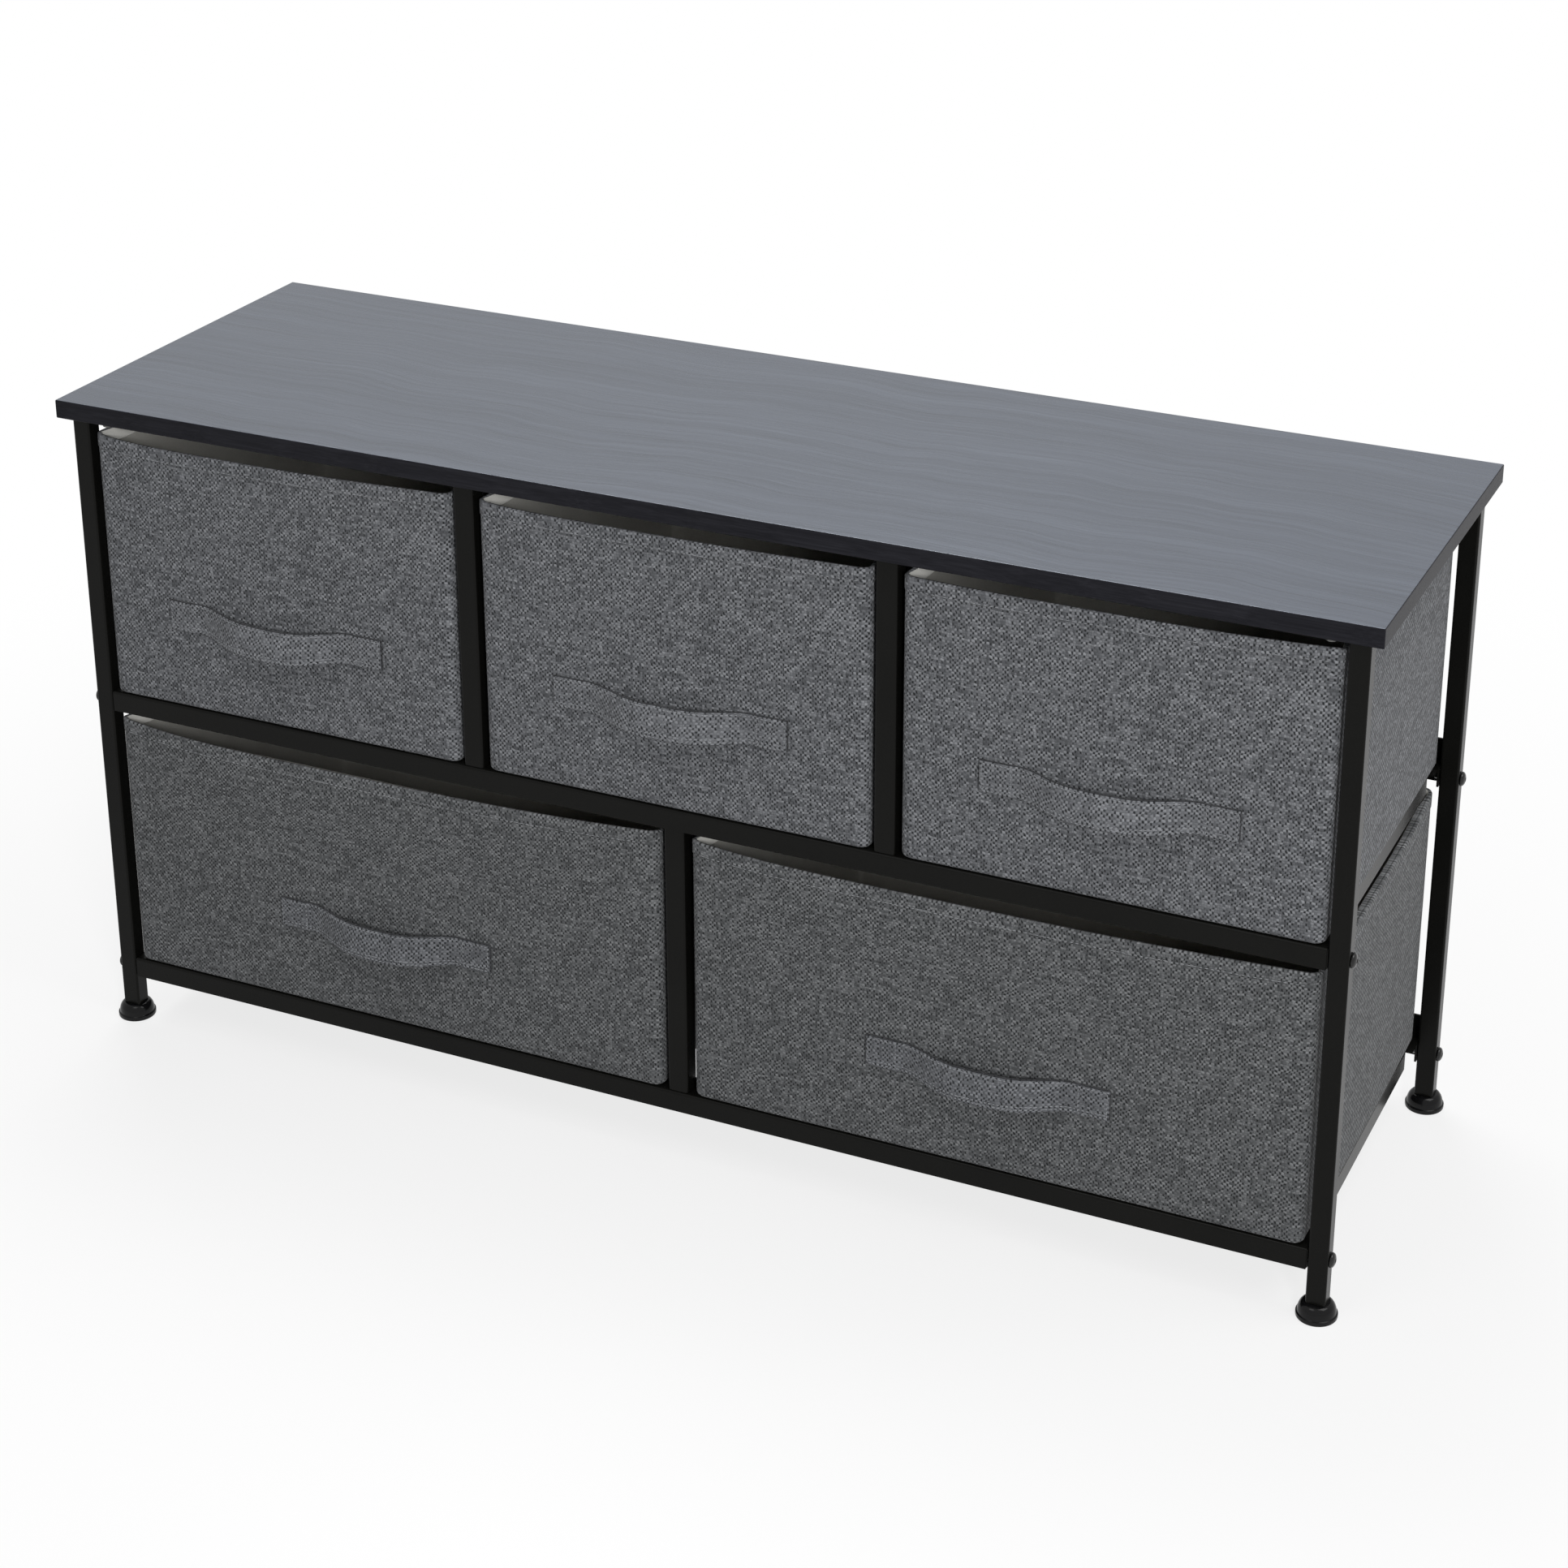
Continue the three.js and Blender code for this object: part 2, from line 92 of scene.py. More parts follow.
# How near to a cut a vertex counts as on it, and how near two vertices count as one.
ON_PLANE = 1e-7
SAME_PLACE = 1e-6
# The least share of its normal by which a face looks along an axis.
FACING = 0.9
ROUND_STEPS = 3


class Side(Enum):
    """The upright walls of a bin, by the direction in which each faces."""

    FRONT = (0, -1)
    RIGHT = (1, 0)
    BACK = (0, 1)
    LEFT = (-1, 0)


class Wiring:
    """A node tree while it is being wired."""

    def __init__(self, tree: bpy.types.NodeTree) -> None:
        """Start with an empty tree.

        Args:
            tree: The tree, which loses its nodes.
        """
        self.tree = tree
        self.tree.nodes.clear()

    def node(self, kind: str, *values: object, **settings: object) -> bpy.types.Node:
        """Add a node, set its properties and feed its first inputs.

        Args:
            kind: The node's type, without the ShaderNode prefix.
            values: What the inputs get, in their order.
            settings: Properties of the node itself.

        Returns:
            The new node.
        """
        made = self.tree.nodes.new("ShaderNode" + kind)
        for name, value in settings.items():
            setattr(made, name, value)
        for socket, value in zip(made.inputs, values):
            self.feed(socket, value)
        return made

    def feed(self, socket: bpy.types.NodeSocket, value: object) -> None:
        """Link a socket to another one, or give it a plain value.

        Args:
            socket: The input to be fed.
            value: An output socket, a number or a colour.
        """
        if isinstance(value, bpy.types.NodeSocket):
            self.tree.links.new(value, socket)
        else:
            socket.default_value = value

    def maths(self, operation: str, *values: object, clamp: bool = False) -> bpy.types.NodeSocket:
        """Add a Math node.

        Args:
            operation: The node's operation.
            values: Up to three sockets or numbers.
            clamp: Whether the result is kept between zero and one.

        Returns:
            The node's output.
        """
        return self.node("Math", *values, operation=operation, use_clamp=clamp).outputs[0]

    def blend(self, share: object, low: object, high: object) -> bpy.types.NodeSocket:
        """Mix two numbers.

        Args:
            share: How much of the second one is taken.
            low: The first number.
            high: The second number.

        Returns:
            The mixed number.
        """
        made = self.node("Mix", data_type="FLOAT")
        for name, value in (("Factor", share), ("A", low), ("B", high)):
            self.feed(made.inputs[name], value)
        return made.outputs["Result"]

    def seen(self, reflected: float = 1.0) -> bpy.types.NodeSocket:
        """Tell the eye's rays from those that only bring light.

        Args:
            reflected: How much a ray counts that comes by a reflection or through glass.

        Returns:
            One for the camera's rays, the share for those, and zero for the others.
        """
        path = self.node("LightPath").outputs
        seen = path["Is Camera Ray"]
        for name in ("Is Glossy Ray", "Is Transmission Ray"):
            seen = self.maths("MAXIMUM", seen, self.maths("MULTIPLY", path[name], reflected))
        return seen


class Shader(Wiring):
    """A material while it is being wired."""

    def __init__(self, name: str) -> None:
        """Start a material with a Principled shader and its output.

        Args:
            name: The material's name.
        """
        self.material = bpy.data.materials.new(name)
        self.material.use_nodes = True
        super().__init__(self.material.node_tree)
        self.output = self.node("OutputMaterial")
        self.surface = self.node("BsdfPrincipled")
        self.feed(self.output.inputs["Surface"], self.surface.outputs["BSDF"])

    def vector(self, x: object, y: object, z: object) -> bpy.types.NodeSocket:
        """Combine three numbers into a vector.

        Args:
            x: The first number or socket.
            y: The second one.
            z: The third one.

        Returns:
            The vector.
        """
        return self.node("CombineXYZ", x, y, z).outputs[0]

    def split(self, vector: bpy.types.NodeSocket) -> tuple[bpy.types.NodeSocket, ...]:
        """Take a vector apart.

        Args:
            vector: The vector.

        Returns:
            Its three parts.
        """
        return tuple(self.node("SeparateXYZ", vector).outputs)

    def clouds(
        self,
        vector: bpy.types.NodeSocket,
        scale: float,
        detail: float = 2.0,
        roughness: float = 0.5,
    ) -> bpy.types.NodeSocket:
        """Add a noise texture and give its factor.

        Args:
            vector: Where the noise is read.
            scale: How many waves there are in a unit of the vector.
            detail: How many finer layers are added.
            roughness: How strong the finer layers are.

        Returns:
            The noise, from zero to one.
        """
        made = self.node("TexNoise", vector)
        for name, value in (("Scale", scale), ("Detail", detail), ("Roughness", roughness)):
            made.inputs[name].default_value = value
        return made.outputs["Fac"]

    def flecks(self, vector: bpy.types.NodeSocket) -> bpy.types.NodeSocket:
        """Give a chance number that differs from one whole vector to the next.

        Args:
            vector: Where the number is read.

        Returns:
            The number, from zero to one.
        """
        return self.node("TexWhiteNoise", vector, noise_dimensions="3D").outputs["Value"]

    def ramp(
        self,
        value: bpy.types.NodeSocket,
        stops: Sequence[tuple[float, Colour]],
    ) -> bpy.types.NodeSocket:
        """Turn a number into a colour.

        Args:
            value: The number, from zero to one.
            stops: Each stop's place and colour.

        Returns:
            The colour.
        """
        made = self.node("ValToRGB", value)
        elements = made.color_ramp.elements
        while len(elements) < len(stops):
            elements.new(0.5)
        for element, (place, colour) in zip(elements, stops):
            element.position = place
            element.color = (*colour, 1.0)
        return made.outputs["Color"]

    def two_tone(
        self,
        value: bpy.types.NodeSocket,
        dark: Colour,
        light: Colour,
    ) -> bpy.types.NodeSocket:
        """Spread two colours over the range in which most noise falls.

        Args:
            value: The noise.
            dark: The colour of its low parts.
            light: The colour of its high parts.

        Returns:
            The colour.
        """
        return self.ramp(value, ((NOISE_LOW, dark), (NOISE_HIGH, light)))

    def objects(self) -> bpy.types.NodeSocket:
        """Read the object coordinates.

        Returns:
            The place on the object, in metres.
        """
        return self.node("TexCoord").outputs["Object"]

    def cloth_plane(self) -> bpy.types.NodeSocket:
        """Read the flat cloth's coordinates.

        Returns:
            The place on the cloth, in metres.
        """
        return self.node("UVMap", uv_map=CLOTH_UV).outputs[0]

    def coat(self, sockets: dict[str, object]) -> None:
        """Feed the Principled shader.

        Args:
            sockets: What its inputs get, by their names.
        """
        for name, value in sockets.items():
            self.feed(self.surface.inputs[name], value)

    def bump(self, height: bpy.types.NodeSocket, depth: float, strength: float = 1.0) -> None:
        """Raise the surface by a height.

        Args:
            height: The height, from zero to one.
            depth: How far a height of one stands out, in metres.
            strength: How much of the bump is seen.
        """
        made = self.node("Bump")
        for name, value in (("Strength", strength), ("Distance", depth), ("Height", height)):
            self.feed(made.inputs[name], value)
        self.feed(self.surface.inputs["Normal"], made.outputs[0])


@dataclass(frozen=True)
class WovenFinish:
    """A plain weave of heathered yarn, its weft lighter than its warp, with painted shade in the
    gaps between yarns.
    """

    name: str
    middle: Colour
    light: Colour
    dark: Colour = (0.004, 0.0045, 0.005)
    middle_stop: float = 0.4
    light_stop: float = 0.9
    warp_pitch: float = 1.8 * MM
    weft_pitch: float = 1.85 * MM
    slub_length: float = 18 * MM
    wander_scale: float = 120.0
    wander_pitches: float = 2.2
    weft_tone: float = 0.66
    warp_tone: float = 0.08
    streak: float = 0.75
    fleck: float = 1.2
    ground_fleck: float = 0.42
    gap_shade_depth: float = 0.25
    yarn_depth: float = 0.45
    yarn_spread: float = 3.71
    weft_layer: float = 7.3
    fleck_layer: float = 3.0
    dot_sharpness: float = 0.8
    relief: float = 0.2 * MM
    relief_seen: float = 0.8
    roughness: float = 0.95
    specular: float = 0.12
    sheen: float = 0.1
    sheen_roughness: float = 0.6

    def material(self) -> bpy.types.Material:
        """Wire the weave.

        Returns:
            The finished material.
        """
        cloth = Shader(self.name)
        plane = cloth.cloth_plane()
        u, v, _ = cloth.split(plane)
        wander = cloth.clouds(plane, self.wander_scale, *FINE_NOISE)
        wander = cloth.maths("SUBTRACT", wander, NOISE_MIDDLE)
        sway = cloth.maths("MULTIPLY", wander, self.wander_pitches * self.warp_pitch)
        across = cloth.maths("DIVIDE", cloth.maths("ADD", u, sway), self.warp_pitch)
        along = cloth.maths("DIVIDE", cloth.maths("SUBTRACT", v, sway), self.weft_pitch)
        warp = cloth.maths("FLOOR", across)
        weft = cloth.maths("FLOOR", along)
        warp_over = cloth.maths("FLOORED_MODULO", cloth.maths("ADD", warp, weft), 2.0)
        warp_round = self.roundness(cloth, across)
        weft_round = self.roundness(cloth, along)
        warp_height = self.crossing_height(cloth, warp_round, weft_round)
        weft_height = self.crossing_height(cloth, weft_round, warp_round)
        height = cloth.blend(warp_over, weft_height, warp_height)
        warp_slub = cloth.maths("MULTIPLY", along, self.weft_pitch / self.slub_length)
        weft_slub = cloth.maths("MULTIPLY", across, self.warp_pitch / self.slub_length)
        warp_tone = self.yarn_tone(cloth, warp, warp_slub, 0.0, self.warp_tone)
        weft_tone = self.yarn_tone(cloth, weft, weft_slub, self.weft_layer, self.weft_tone)
        chance = cloth.flecks(cloth.vector(warp, weft, self.fleck_layer))
        chance = cloth.maths("SUBTRACT", chance, NOISE_MIDDLE)
        lit = cloth.maths("MULTIPLY_ADD", chance, -self.ground_fleck, weft_tone, clamp=True)
        # The weft's colour darkens with its height towards the gaps between yarns: painted shade.
        shade = (self.gap_shade_depth, 1.0 - self.gap_shade_depth)
        ground = cloth.maths("MULTIPLY", lit, cloth.maths("MULTIPLY_ADD", weft_height, *shade))
        dots = cloth.maths("MULTIPLY_ADD", chance, self.fleck, warp_tone, clamp=True)
        crown = cloth.maths("POWER", warp_height, self.dot_sharpness)
        value = cloth.blend(cloth.maths("MULTIPLY", warp_over, crown), ground, dots)
        stops = ((0.0, self.dark), (self.middle_stop, self.middle), (self.light_stop, self.light))
        cloth.coat(
            {
                "Base Color": cloth.ramp(value, stops),
                "Roughness": self.roughness,
                "Specular IOR Level": self.specular,
                "Sheen Weight": self.sheen,
                "Sheen Roughness": self.sheen_roughness,
            }
        )
        cloth.bump(height, self.relief, self.relief_seen)
        return cloth.material

    @staticmethod
    def roundness(cloth: Shader, place: bpy.types.NodeSocket) -> bpy.types.NodeSocket:
        """Give how high a yarn stands at a place across it.

        Args:
            cloth: The material being wired.
            place: The place, counted in yarns.

        Returns:
            The height, from zero to one.
        """
        share = cloth.maths("FRACT", place)
        return cloth.maths("SINE", cloth.maths("MULTIPLY", share, math.pi))

    def crossing_height(
        self,
        cloth: Shader,
        own: bpy.types.NodeSocket,
        other: bpy.types.NodeSocket,
    ) -> bpy.types.NodeSocket:
        """Give the height of a yarn where it lies over another one.

        Args:
            cloth: The material being wired.
            own: The yarn's own roundness.
            other: The roundness of the yarn below it.

        Returns:
            The height, from zero to one.
        """
        arch = cloth.maths("MULTIPLY_ADD", other, self.yarn_depth, 1.0 - self.yarn_depth)
        return cloth.maths("MULTIPLY", own, arch)

    def yarn_tone(
        self,
        cloth: Shader,
        number: bpy.types.NodeSocket,
        place: bpy.types.NodeSocket,
        layer: float,
        middle: float,
    ) -> bpy.types.NodeSocket:
        """Give the tone of one yarn, which changes slowly along it.

        Args:
            cloth: The material being wired.
            number: The yarn's number.
            place: The place along the yarn, counted in slubs.
            layer: Parts the warp's noise from the weft's.
            middle: The tone that the yarns have on average.

        Returns:
            The tone.
        """
        spread = cloth.maths("MULTIPLY", number, self.yarn_spread)
        streak = cloth.clouds(cloth.vector(spread, place, layer), 1.0, *FINE_NOISE)
        return cloth.maths("MULTIPLY_ADD", streak, self.streak, middle - self.streak / 2)


@dataclass(frozen=True)
class LaminateFinish:
    """Dark laminate printed and pressed with a fine grain along X."""

    name: str
    dark: Colour
    middle: Colour
    light: Colour
    roughness: float
    specular: float
    tint: Colour = (1.0, 1.0, 1.0)
    tone_stops: tuple[float, float, float] = (0.34, 0.5, 0.66)
    bend_stretch: float = 2.2
    bend_scale: float = 3.0
    bend_reach: float = 0.05
    streak_waves: Pair = (3.5, 300.0)
    pore_waves: Pair = (14.0, 900.0)
    band_waves: Pair = (1.1, 40.0)
    band_share: float = 0.35
    pore_share: float = 0.4
    pore_depth: float = 0.6
    roughness_spread: float = 0.22
    relief: float = 0.16 * MM

    def material(self) -> bpy.types.Material:
        """Wire the grain, its pores and its sheen.

        Returns:
            The finished material.
        """
        board = Shader(self.name)
        x, y, z = board.split(board.objects())
        stretched = board.vector(board.maths("MULTIPLY", x, self.bend_stretch), y, z)
        bends = board.clouds(stretched, self.bend_scale)
        bend = board.maths("SUBTRACT", bends, NOISE_MIDDLE)
        lane = board.maths("ADD", y, board.maths("MULTIPLY", bend, self.bend_reach))
        streaks, pores, bands = [
            self.grain(board, (x, lane, z), waves)
            for waves in (self.streak_waves, self.pore_waves, self.band_waves)
        ]
        tone = board.blend(self.pore_share, board.blend(self.band_share, streaks, bands), pores)
        stops = tuple(zip(self.tone_stops, (self.dark, self.middle, self.light)))
        smoothest = self.roughness - self.roughness_spread / 2
        board.coat(
            {
                "Base Color": board.ramp(tone, stops),
                "Roughness": board.maths("MULTIPLY_ADD", pores, self.roughness_spread, smoothest),
                "Specular IOR Level": self.specular,
                "Specular Tint": (*self.tint, 1.0),
            }
        )
        board.bump(board.blend(self.pore_depth, streaks, pores), self.relief)
        return board.material

    @staticmethod
    def grain(
        board: Shader,
        place: tuple[bpy.types.NodeSocket, ...],
        waves: Pair,
    ) -> bpy.types.NodeSocket:
        """Give streaks that are long along X and narrow across it.

        Args:
            board: The material being wired.
            place: The place along the grain, across it on the flat, and the height.
            waves: Waves in a metre along the grain and across it.

        Returns:
            The streaks, from zero to one.
        """
        along, across = waves
        scales = (along, across, across)
        parts = [board.maths("MULTIPLY", part, scale) for part, scale in zip(place, scales)]
        return board.clouds(board.vector(*parts), 1.0, *FINE_NOISE)


@dataclass(frozen=True)
class SpeckledFinish:
    """Paint, plastic, plated steel or matted fibres with a faint unevenness."""

    name: str
    dark: Colour
    light: Colour
    roughness: float
    metallic: float = 0.0
    specular: float = 0.5
    grain: float = 700.0
    noise: Pair = FINE_NOISE
    cloud_scale: float = 14.0
    cloud_share: float = 0.5
    roughness_spread: float = 0.1
    relief: float = 0.012 * MM

    def material(self) -> bpy.types.Material:
        """Wire the specks and the clouds that lie over them.

        Returns:
            The finished material.
        """
        skin = Shader(self.name)
        specks = skin.clouds(skin.objects(), self.grain, *self.noise)
        clouds = skin.clouds(skin.objects(), self.cloud_scale, CLOUD_DETAIL)
        value = skin.blend(self.cloud_share, specks, clouds)
        colour = skin.two_tone(value, self.dark, self.light)
        rough = self.roughness
        if self.roughness_spread:
            smoothest = self.roughness - self.roughness_spread / 2
            rough = skin.maths("MULTIPLY_ADD", clouds, self.roughness_spread, smoothest)
        skin.coat(
            {
                "Base Color": colour,
                "Roughness": rough,
                "Metallic": self.metallic,
                "Specular IOR Level": self.specular,
            }
        )
        skin.bump(specks, self.relief)
        return skin.material


# The straps' yarn is more even than the bins'.
STRAP_WEAVE = {"fleck": 1.0, "ground_fleck": 0.3, "streak": 0.5}
# The linings and the thread are matted or twisted fibres.
FIBRES = {
    "roughness": 0.9,
    "specular": 0.2,
    "noise": MATTED_NOISE,
    "cloud_scale": 30.0,
    "cloud_share": 0.35,
    "roughness_spread": 0.0,
}

FINISHES = {
    "linen": WovenFinish(
        "heathered linen",
        middle=(0.100, 0.104, 0.112),
        light=(0.320, 0.329, 0.348),
    ),
    # The lower row's linen is a darker copy of the same linen: painted shade for the light that
    # falls off towards the floor.
    "lower linen": WovenFinish(
        "heathered linen darkened as painted shade on the lower row",
        middle=(0.083, 0.0865, 0.090),
        light=(0.265, 0.272, 0.280),
    ),
    # The strap is a little lighter than the bins' linen: painted light on the bowed strap.
    "strap": WovenFinish(
        "strap linen",
        middle=(0.112, 0.116, 0.125),
        light=(0.33, 0.34, 0.36),
        **STRAP_WEAVE,
    ),
    # Darker than the upper strap as painted shade on the lower row, and lighter than the lower
    # linen as painted light on the bowed strap.
    "lower strap": WovenFinish(
        "strap linen darkened as painted shade on the lower row",
        middle=(0.098, 0.102, 0.110),
        light=(0.29, 0.30, 0.32),
        **STRAP_WEAVE,
    ),
    # A dark copy of the linen for the strap's edges: painted shade round the strap and in the gap
    # behind it.
    "fold": WovenFinish(
        "strap edge darkened as painted shade",
        middle=(0.030, 0.031, 0.034),
        light=(0.09, 0.092, 0.1),
    ),
    "thread": SpeckledFinish(
        "sewing thread",
        dark=(0.24, 0.245, 0.26),
        light=(0.36, 0.37, 0.385),
        grain=2600.0,
        relief=0.05 * MM,
        **FIBRES,
    ),
    "lining": SpeckledFinish(
        "bin lining",
        dark=(0.42, 0.41, 0.38),
        light=(0.54, 0.53, 0.49),
        grain=900.0,
        relief=0.12 * MM,
        **FIBRES,
    ),
    "hem lining": SpeckledFinish(
        "hem lining",
        dark=(0.70, 0.69, 0.65),
        light=(0.82, 0.81, 0.77),
        grain=900.0,
        relief=0.12 * MM,
        **FIBRES,
    ),
    "laminate": LaminateFinish(
        "dark laminate",
        dark=(0.024, 0.029, 0.041),
        middle=(0.042, 0.049, 0.067),
        light=(0.066, 0.077, 0.101),
        roughness=0.3,
        specular=0.95,
        tint=(0.82, 0.9, 1.0),
    ),
    "edge band": LaminateFinish(
        "edge band",
        dark=(0.008, 0.008, 0.0105),
        middle=(0.0135, 0.0135, 0.017),
        light=(0.022, 0.022, 0.027),
        roughness=0.4,
        specular=0.07,
    ),
    "powder": SpeckledFinish(
        "powder coat",
        dark=(0.0035, 0.0035, 0.0030),
        light=(0.0065, 0.0064, 0.0056),
        roughness=0.27,
        specular=0.1,
    ),
    "foot": SpeckledFinish(
        "foot plastic",
        dark=(0.003, 0.003, 0.0033),
        light=(0.006, 0.006, 0.0065),
        roughness=0.16,
        specular=0.2,
    ),
    "bolt": SpeckledFinish(
        "black bolt steel",
        dark=(0.004, 0.004, 0.004),
        light=(0.009, 0.009, 0.009),
        roughness=0.2,
        specular=0.4,
    ),
    "screw": SpeckledFinish(
        "zinc plate",
        dark=(0.10, 0.10, 0.095),
        light=(0.17, 0.17, 0.165),
        roughness=0.42,
        metallic=1.0,
    ),
}


def grid_cuts(mesh: bmesh.types.BMesh, axis: Vector, low: float, high: float, step: float) -> None:
    """Cut a mesh into an even number of equal slices.

    Args:
        mesh: The mesh to cut.
        axis: The direction across the slices.
        low: Where the slices start along the axis.
        high: Where they end.
        step: The widest that a slice may be.
    """
    count = 2 * max(1, math.ceil((high - low) / step / 2))
    for i in range(count + 1):
        bmesh.ops.bisect_plane(
            mesh,
            geom=mesh.verts[:] + mesh.edges[:] + mesh.faces[:],
            dist=ON_PLANE,
            plane_co=axis * (low + (high - low) * i / count),
            plane_no=axis,
        )


def block(mesh: bmesh.types.BMesh, low: Vector, high: Vector) -> list[bmesh.types.BMVert]:
    """Add a box between two corners.

    Args:
        mesh: The mesh that gets the box.
        low: The lowest corner.
        high: The highest corner.

    Returns:
        The box's vertices.
    """
    size = high - low
    place = Matrix.Translation((low + high) / 2) @ Matrix.Diagonal((*size, 1.0))
    return bmesh.ops.create_cube(mesh, size=1.0, matrix=place)["verts"]


def round_edges(
    mesh: bmesh.types.BMesh,
    edges: Iterable[bmesh.types.BMEdge],
    radius: float,
    segments: int = ROUND_STEPS,
) -> None:
    """Round some edges of a mesh.

    Args:
        mesh: The mesh.
        edges: The edges to round.
        radius: Their radius.
        segments: How many steps each round has.
    """
    bmesh.ops.bevel(
        mesh,
        geom=list(edges),
        offset=radius,
        offset_type="OFFSET",
        segments=segments,
        profile=0.5,
        affect="EDGES",
        material=-1,
        clamp_overlap=True,
    )


def lay_cloth(mesh: bmesh.types.BMesh, girth: Girth | None = None) -> None:
    """Give each face its place on the cloth, in metres.

    Args:
        mesh: The mesh, before it is bent.
        girth: Tells how far round an upright box a point of a face with a given middle lies.
    """
    layer = mesh.loops.layers.uv.new(CLOTH_UV)
    mesh.normal_update()
    for face in mesh.faces:
        sizes = [abs(part) for part in face.normal]
        facing = sizes.index(max(sizes))
        first, second = [axis for axis in range(3) if axis != facing]
        wraps = girth and second == 2
        centre = face.calc_center_median()
        for loop in face.loops:
            point = loop.vert.co
            across = girth(point, centre) if wraps else point[first]
            loop[layer].uv = (across, point[second])


def finished_piece(
    name: str,
    mesh: bmesh.types.BMesh,
    materials: Sequence[bpy.types.Material],
    body: str,
) -> bpy.types.Object:
    """Turn a mesh into a piece that rides on a body.

    Args:
        name: The piece's name.
        mesh: The mesh, which is freed.
        materials: The piece's materials in the order of the faces' indices.
        body: The body that the piece moves with.

    Returns:
        The piece.
    """
    for face in mesh.faces:
        face.smooth = True
    data = bpy.data.meshes.new(name)
    mesh.to_mesh(data)
    mesh.free()
    for material in materials:
        data.materials.append(material)
    piece = bpy.data.objects.new(name, data)
    bpy.context.scene.collection.objects.link(piece)
    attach(piece, body)
    log.info("%s: %d faces on %s", name, len(data.polygons), body)
    return piece


def share_to_edge(value: float, half: float, power: int = 4) -> float:
    """Give one at the middle of a span and zero at its ends.

    Args:
        value: The distance from the middle.
        half: Half of the span.
        power: How square the shape is.

    Returns:
        The share.
    """
    return max(0.0, 1.0 - abs(value / half) ** power)


def ease(value: float, low: float, high: float) -> float:
    """Rise softly from zero to one between two values.

    Args:
        value: The value.
        low: Where the rise starts.
        high: Where it ends.

    Returns:
        The share.
    """
    share = min(max((value - low) / (high - low), 0.0), 1.0)
    return share * share * (3.0 - 2.0 * share)


@dataclass
class SewingLine:
    """A row of stitches from one point to another on a cloth."""

    start: Vector
    end: Vector
    outward: Vector
    length: float = 2.9 * MM
    gap: float = 1.2 * MM
    width: float = 0.7 * MM
    proud: float = 0.32 * MM
    slack: float = 0.14

    def sew(self, mesh: bmesh.types.BMesh, place: Place) -> None:
        """Add the stitches to a mesh.

        Args:
            mesh: The mesh that gets the stitches.
            place: Takes a point of the flat cloth to where it lies.
        """
        run = self.end - self.start
        count = max(1, int(run.length / (self.length + self.gap)))
        for i in range(count):
            low = place(self.start + run * ((i + self.slack) / count))
            high = place(self.start + run * ((i + 1.0 - self.slack) / count))
            direction = (high - low).normalized()
            side = direction.cross(self.outward).normalized()
            outward = side.cross(direction)
            turn = Matrix((direction, side, outward)).transposed().to_4x4()
            size = Matrix.Diagonal(((high - low).length / 2, self.width / 2, self.proud, 1.0))
            lie = Matrix.Translation((low + high) / 2) @ turn @ size
            bmesh.ops.create_icosphere(mesh, subdivisions=1, radius=1.0, matrix=lie)


@dataclass(frozen=True)
class Drape:
    """How one bin's cloth hangs and how its strap lies.

    Attributes:
        front_dip: How far the front's rim hangs at its deepest.
        deepest: How far from the middle that is, as a share of the half width.
        side_dip: How far the side walls' rims hang.
        strap_droop: How much further than usual the strap's bow hangs.
        strap_tilt: How much further the bow's right half hangs than its middle.
        corner_lift: How far the front's right corner stands up.
    """

    front_dip: float
    deepest: float
    side_dip: float
    strap_droop: float
    strap_tilt: float
    corner_lift: float = 0.0


DRAPES = {
    "bin_upper_left": Drape(4.2 * MM, -0.34, 3.0 * MM, 1.6 * MM, 0.6 * MM),
    "bin_upper_middle": Drape(2.8 * MM, -0.3, 3.0 * MM, 0.0, 0.0),
    "bin_upper_right": Drape(1.6 * MM, -0.1, 3.0 * MM, 0.4 * MM, -0.4 * MM, 2.4 * MM),
    "bin_lower_left": Drape(8.2 * MM, -0.2, 9.0 * MM, 0.8 * MM, 0.4 * MM),
    "bin_lower_right": Drape(6.0 * MM, -0.25, 9.0 * MM, 0.0, 0.0),
}

# Each stiffener's piece, its solid, and how far its lining stands out from the board.
STIFFENERS = (
    ("front_pocket", "front_board", 0.3 * MM),
    ("base_panel", "base_board", 0.2 * MM),
)


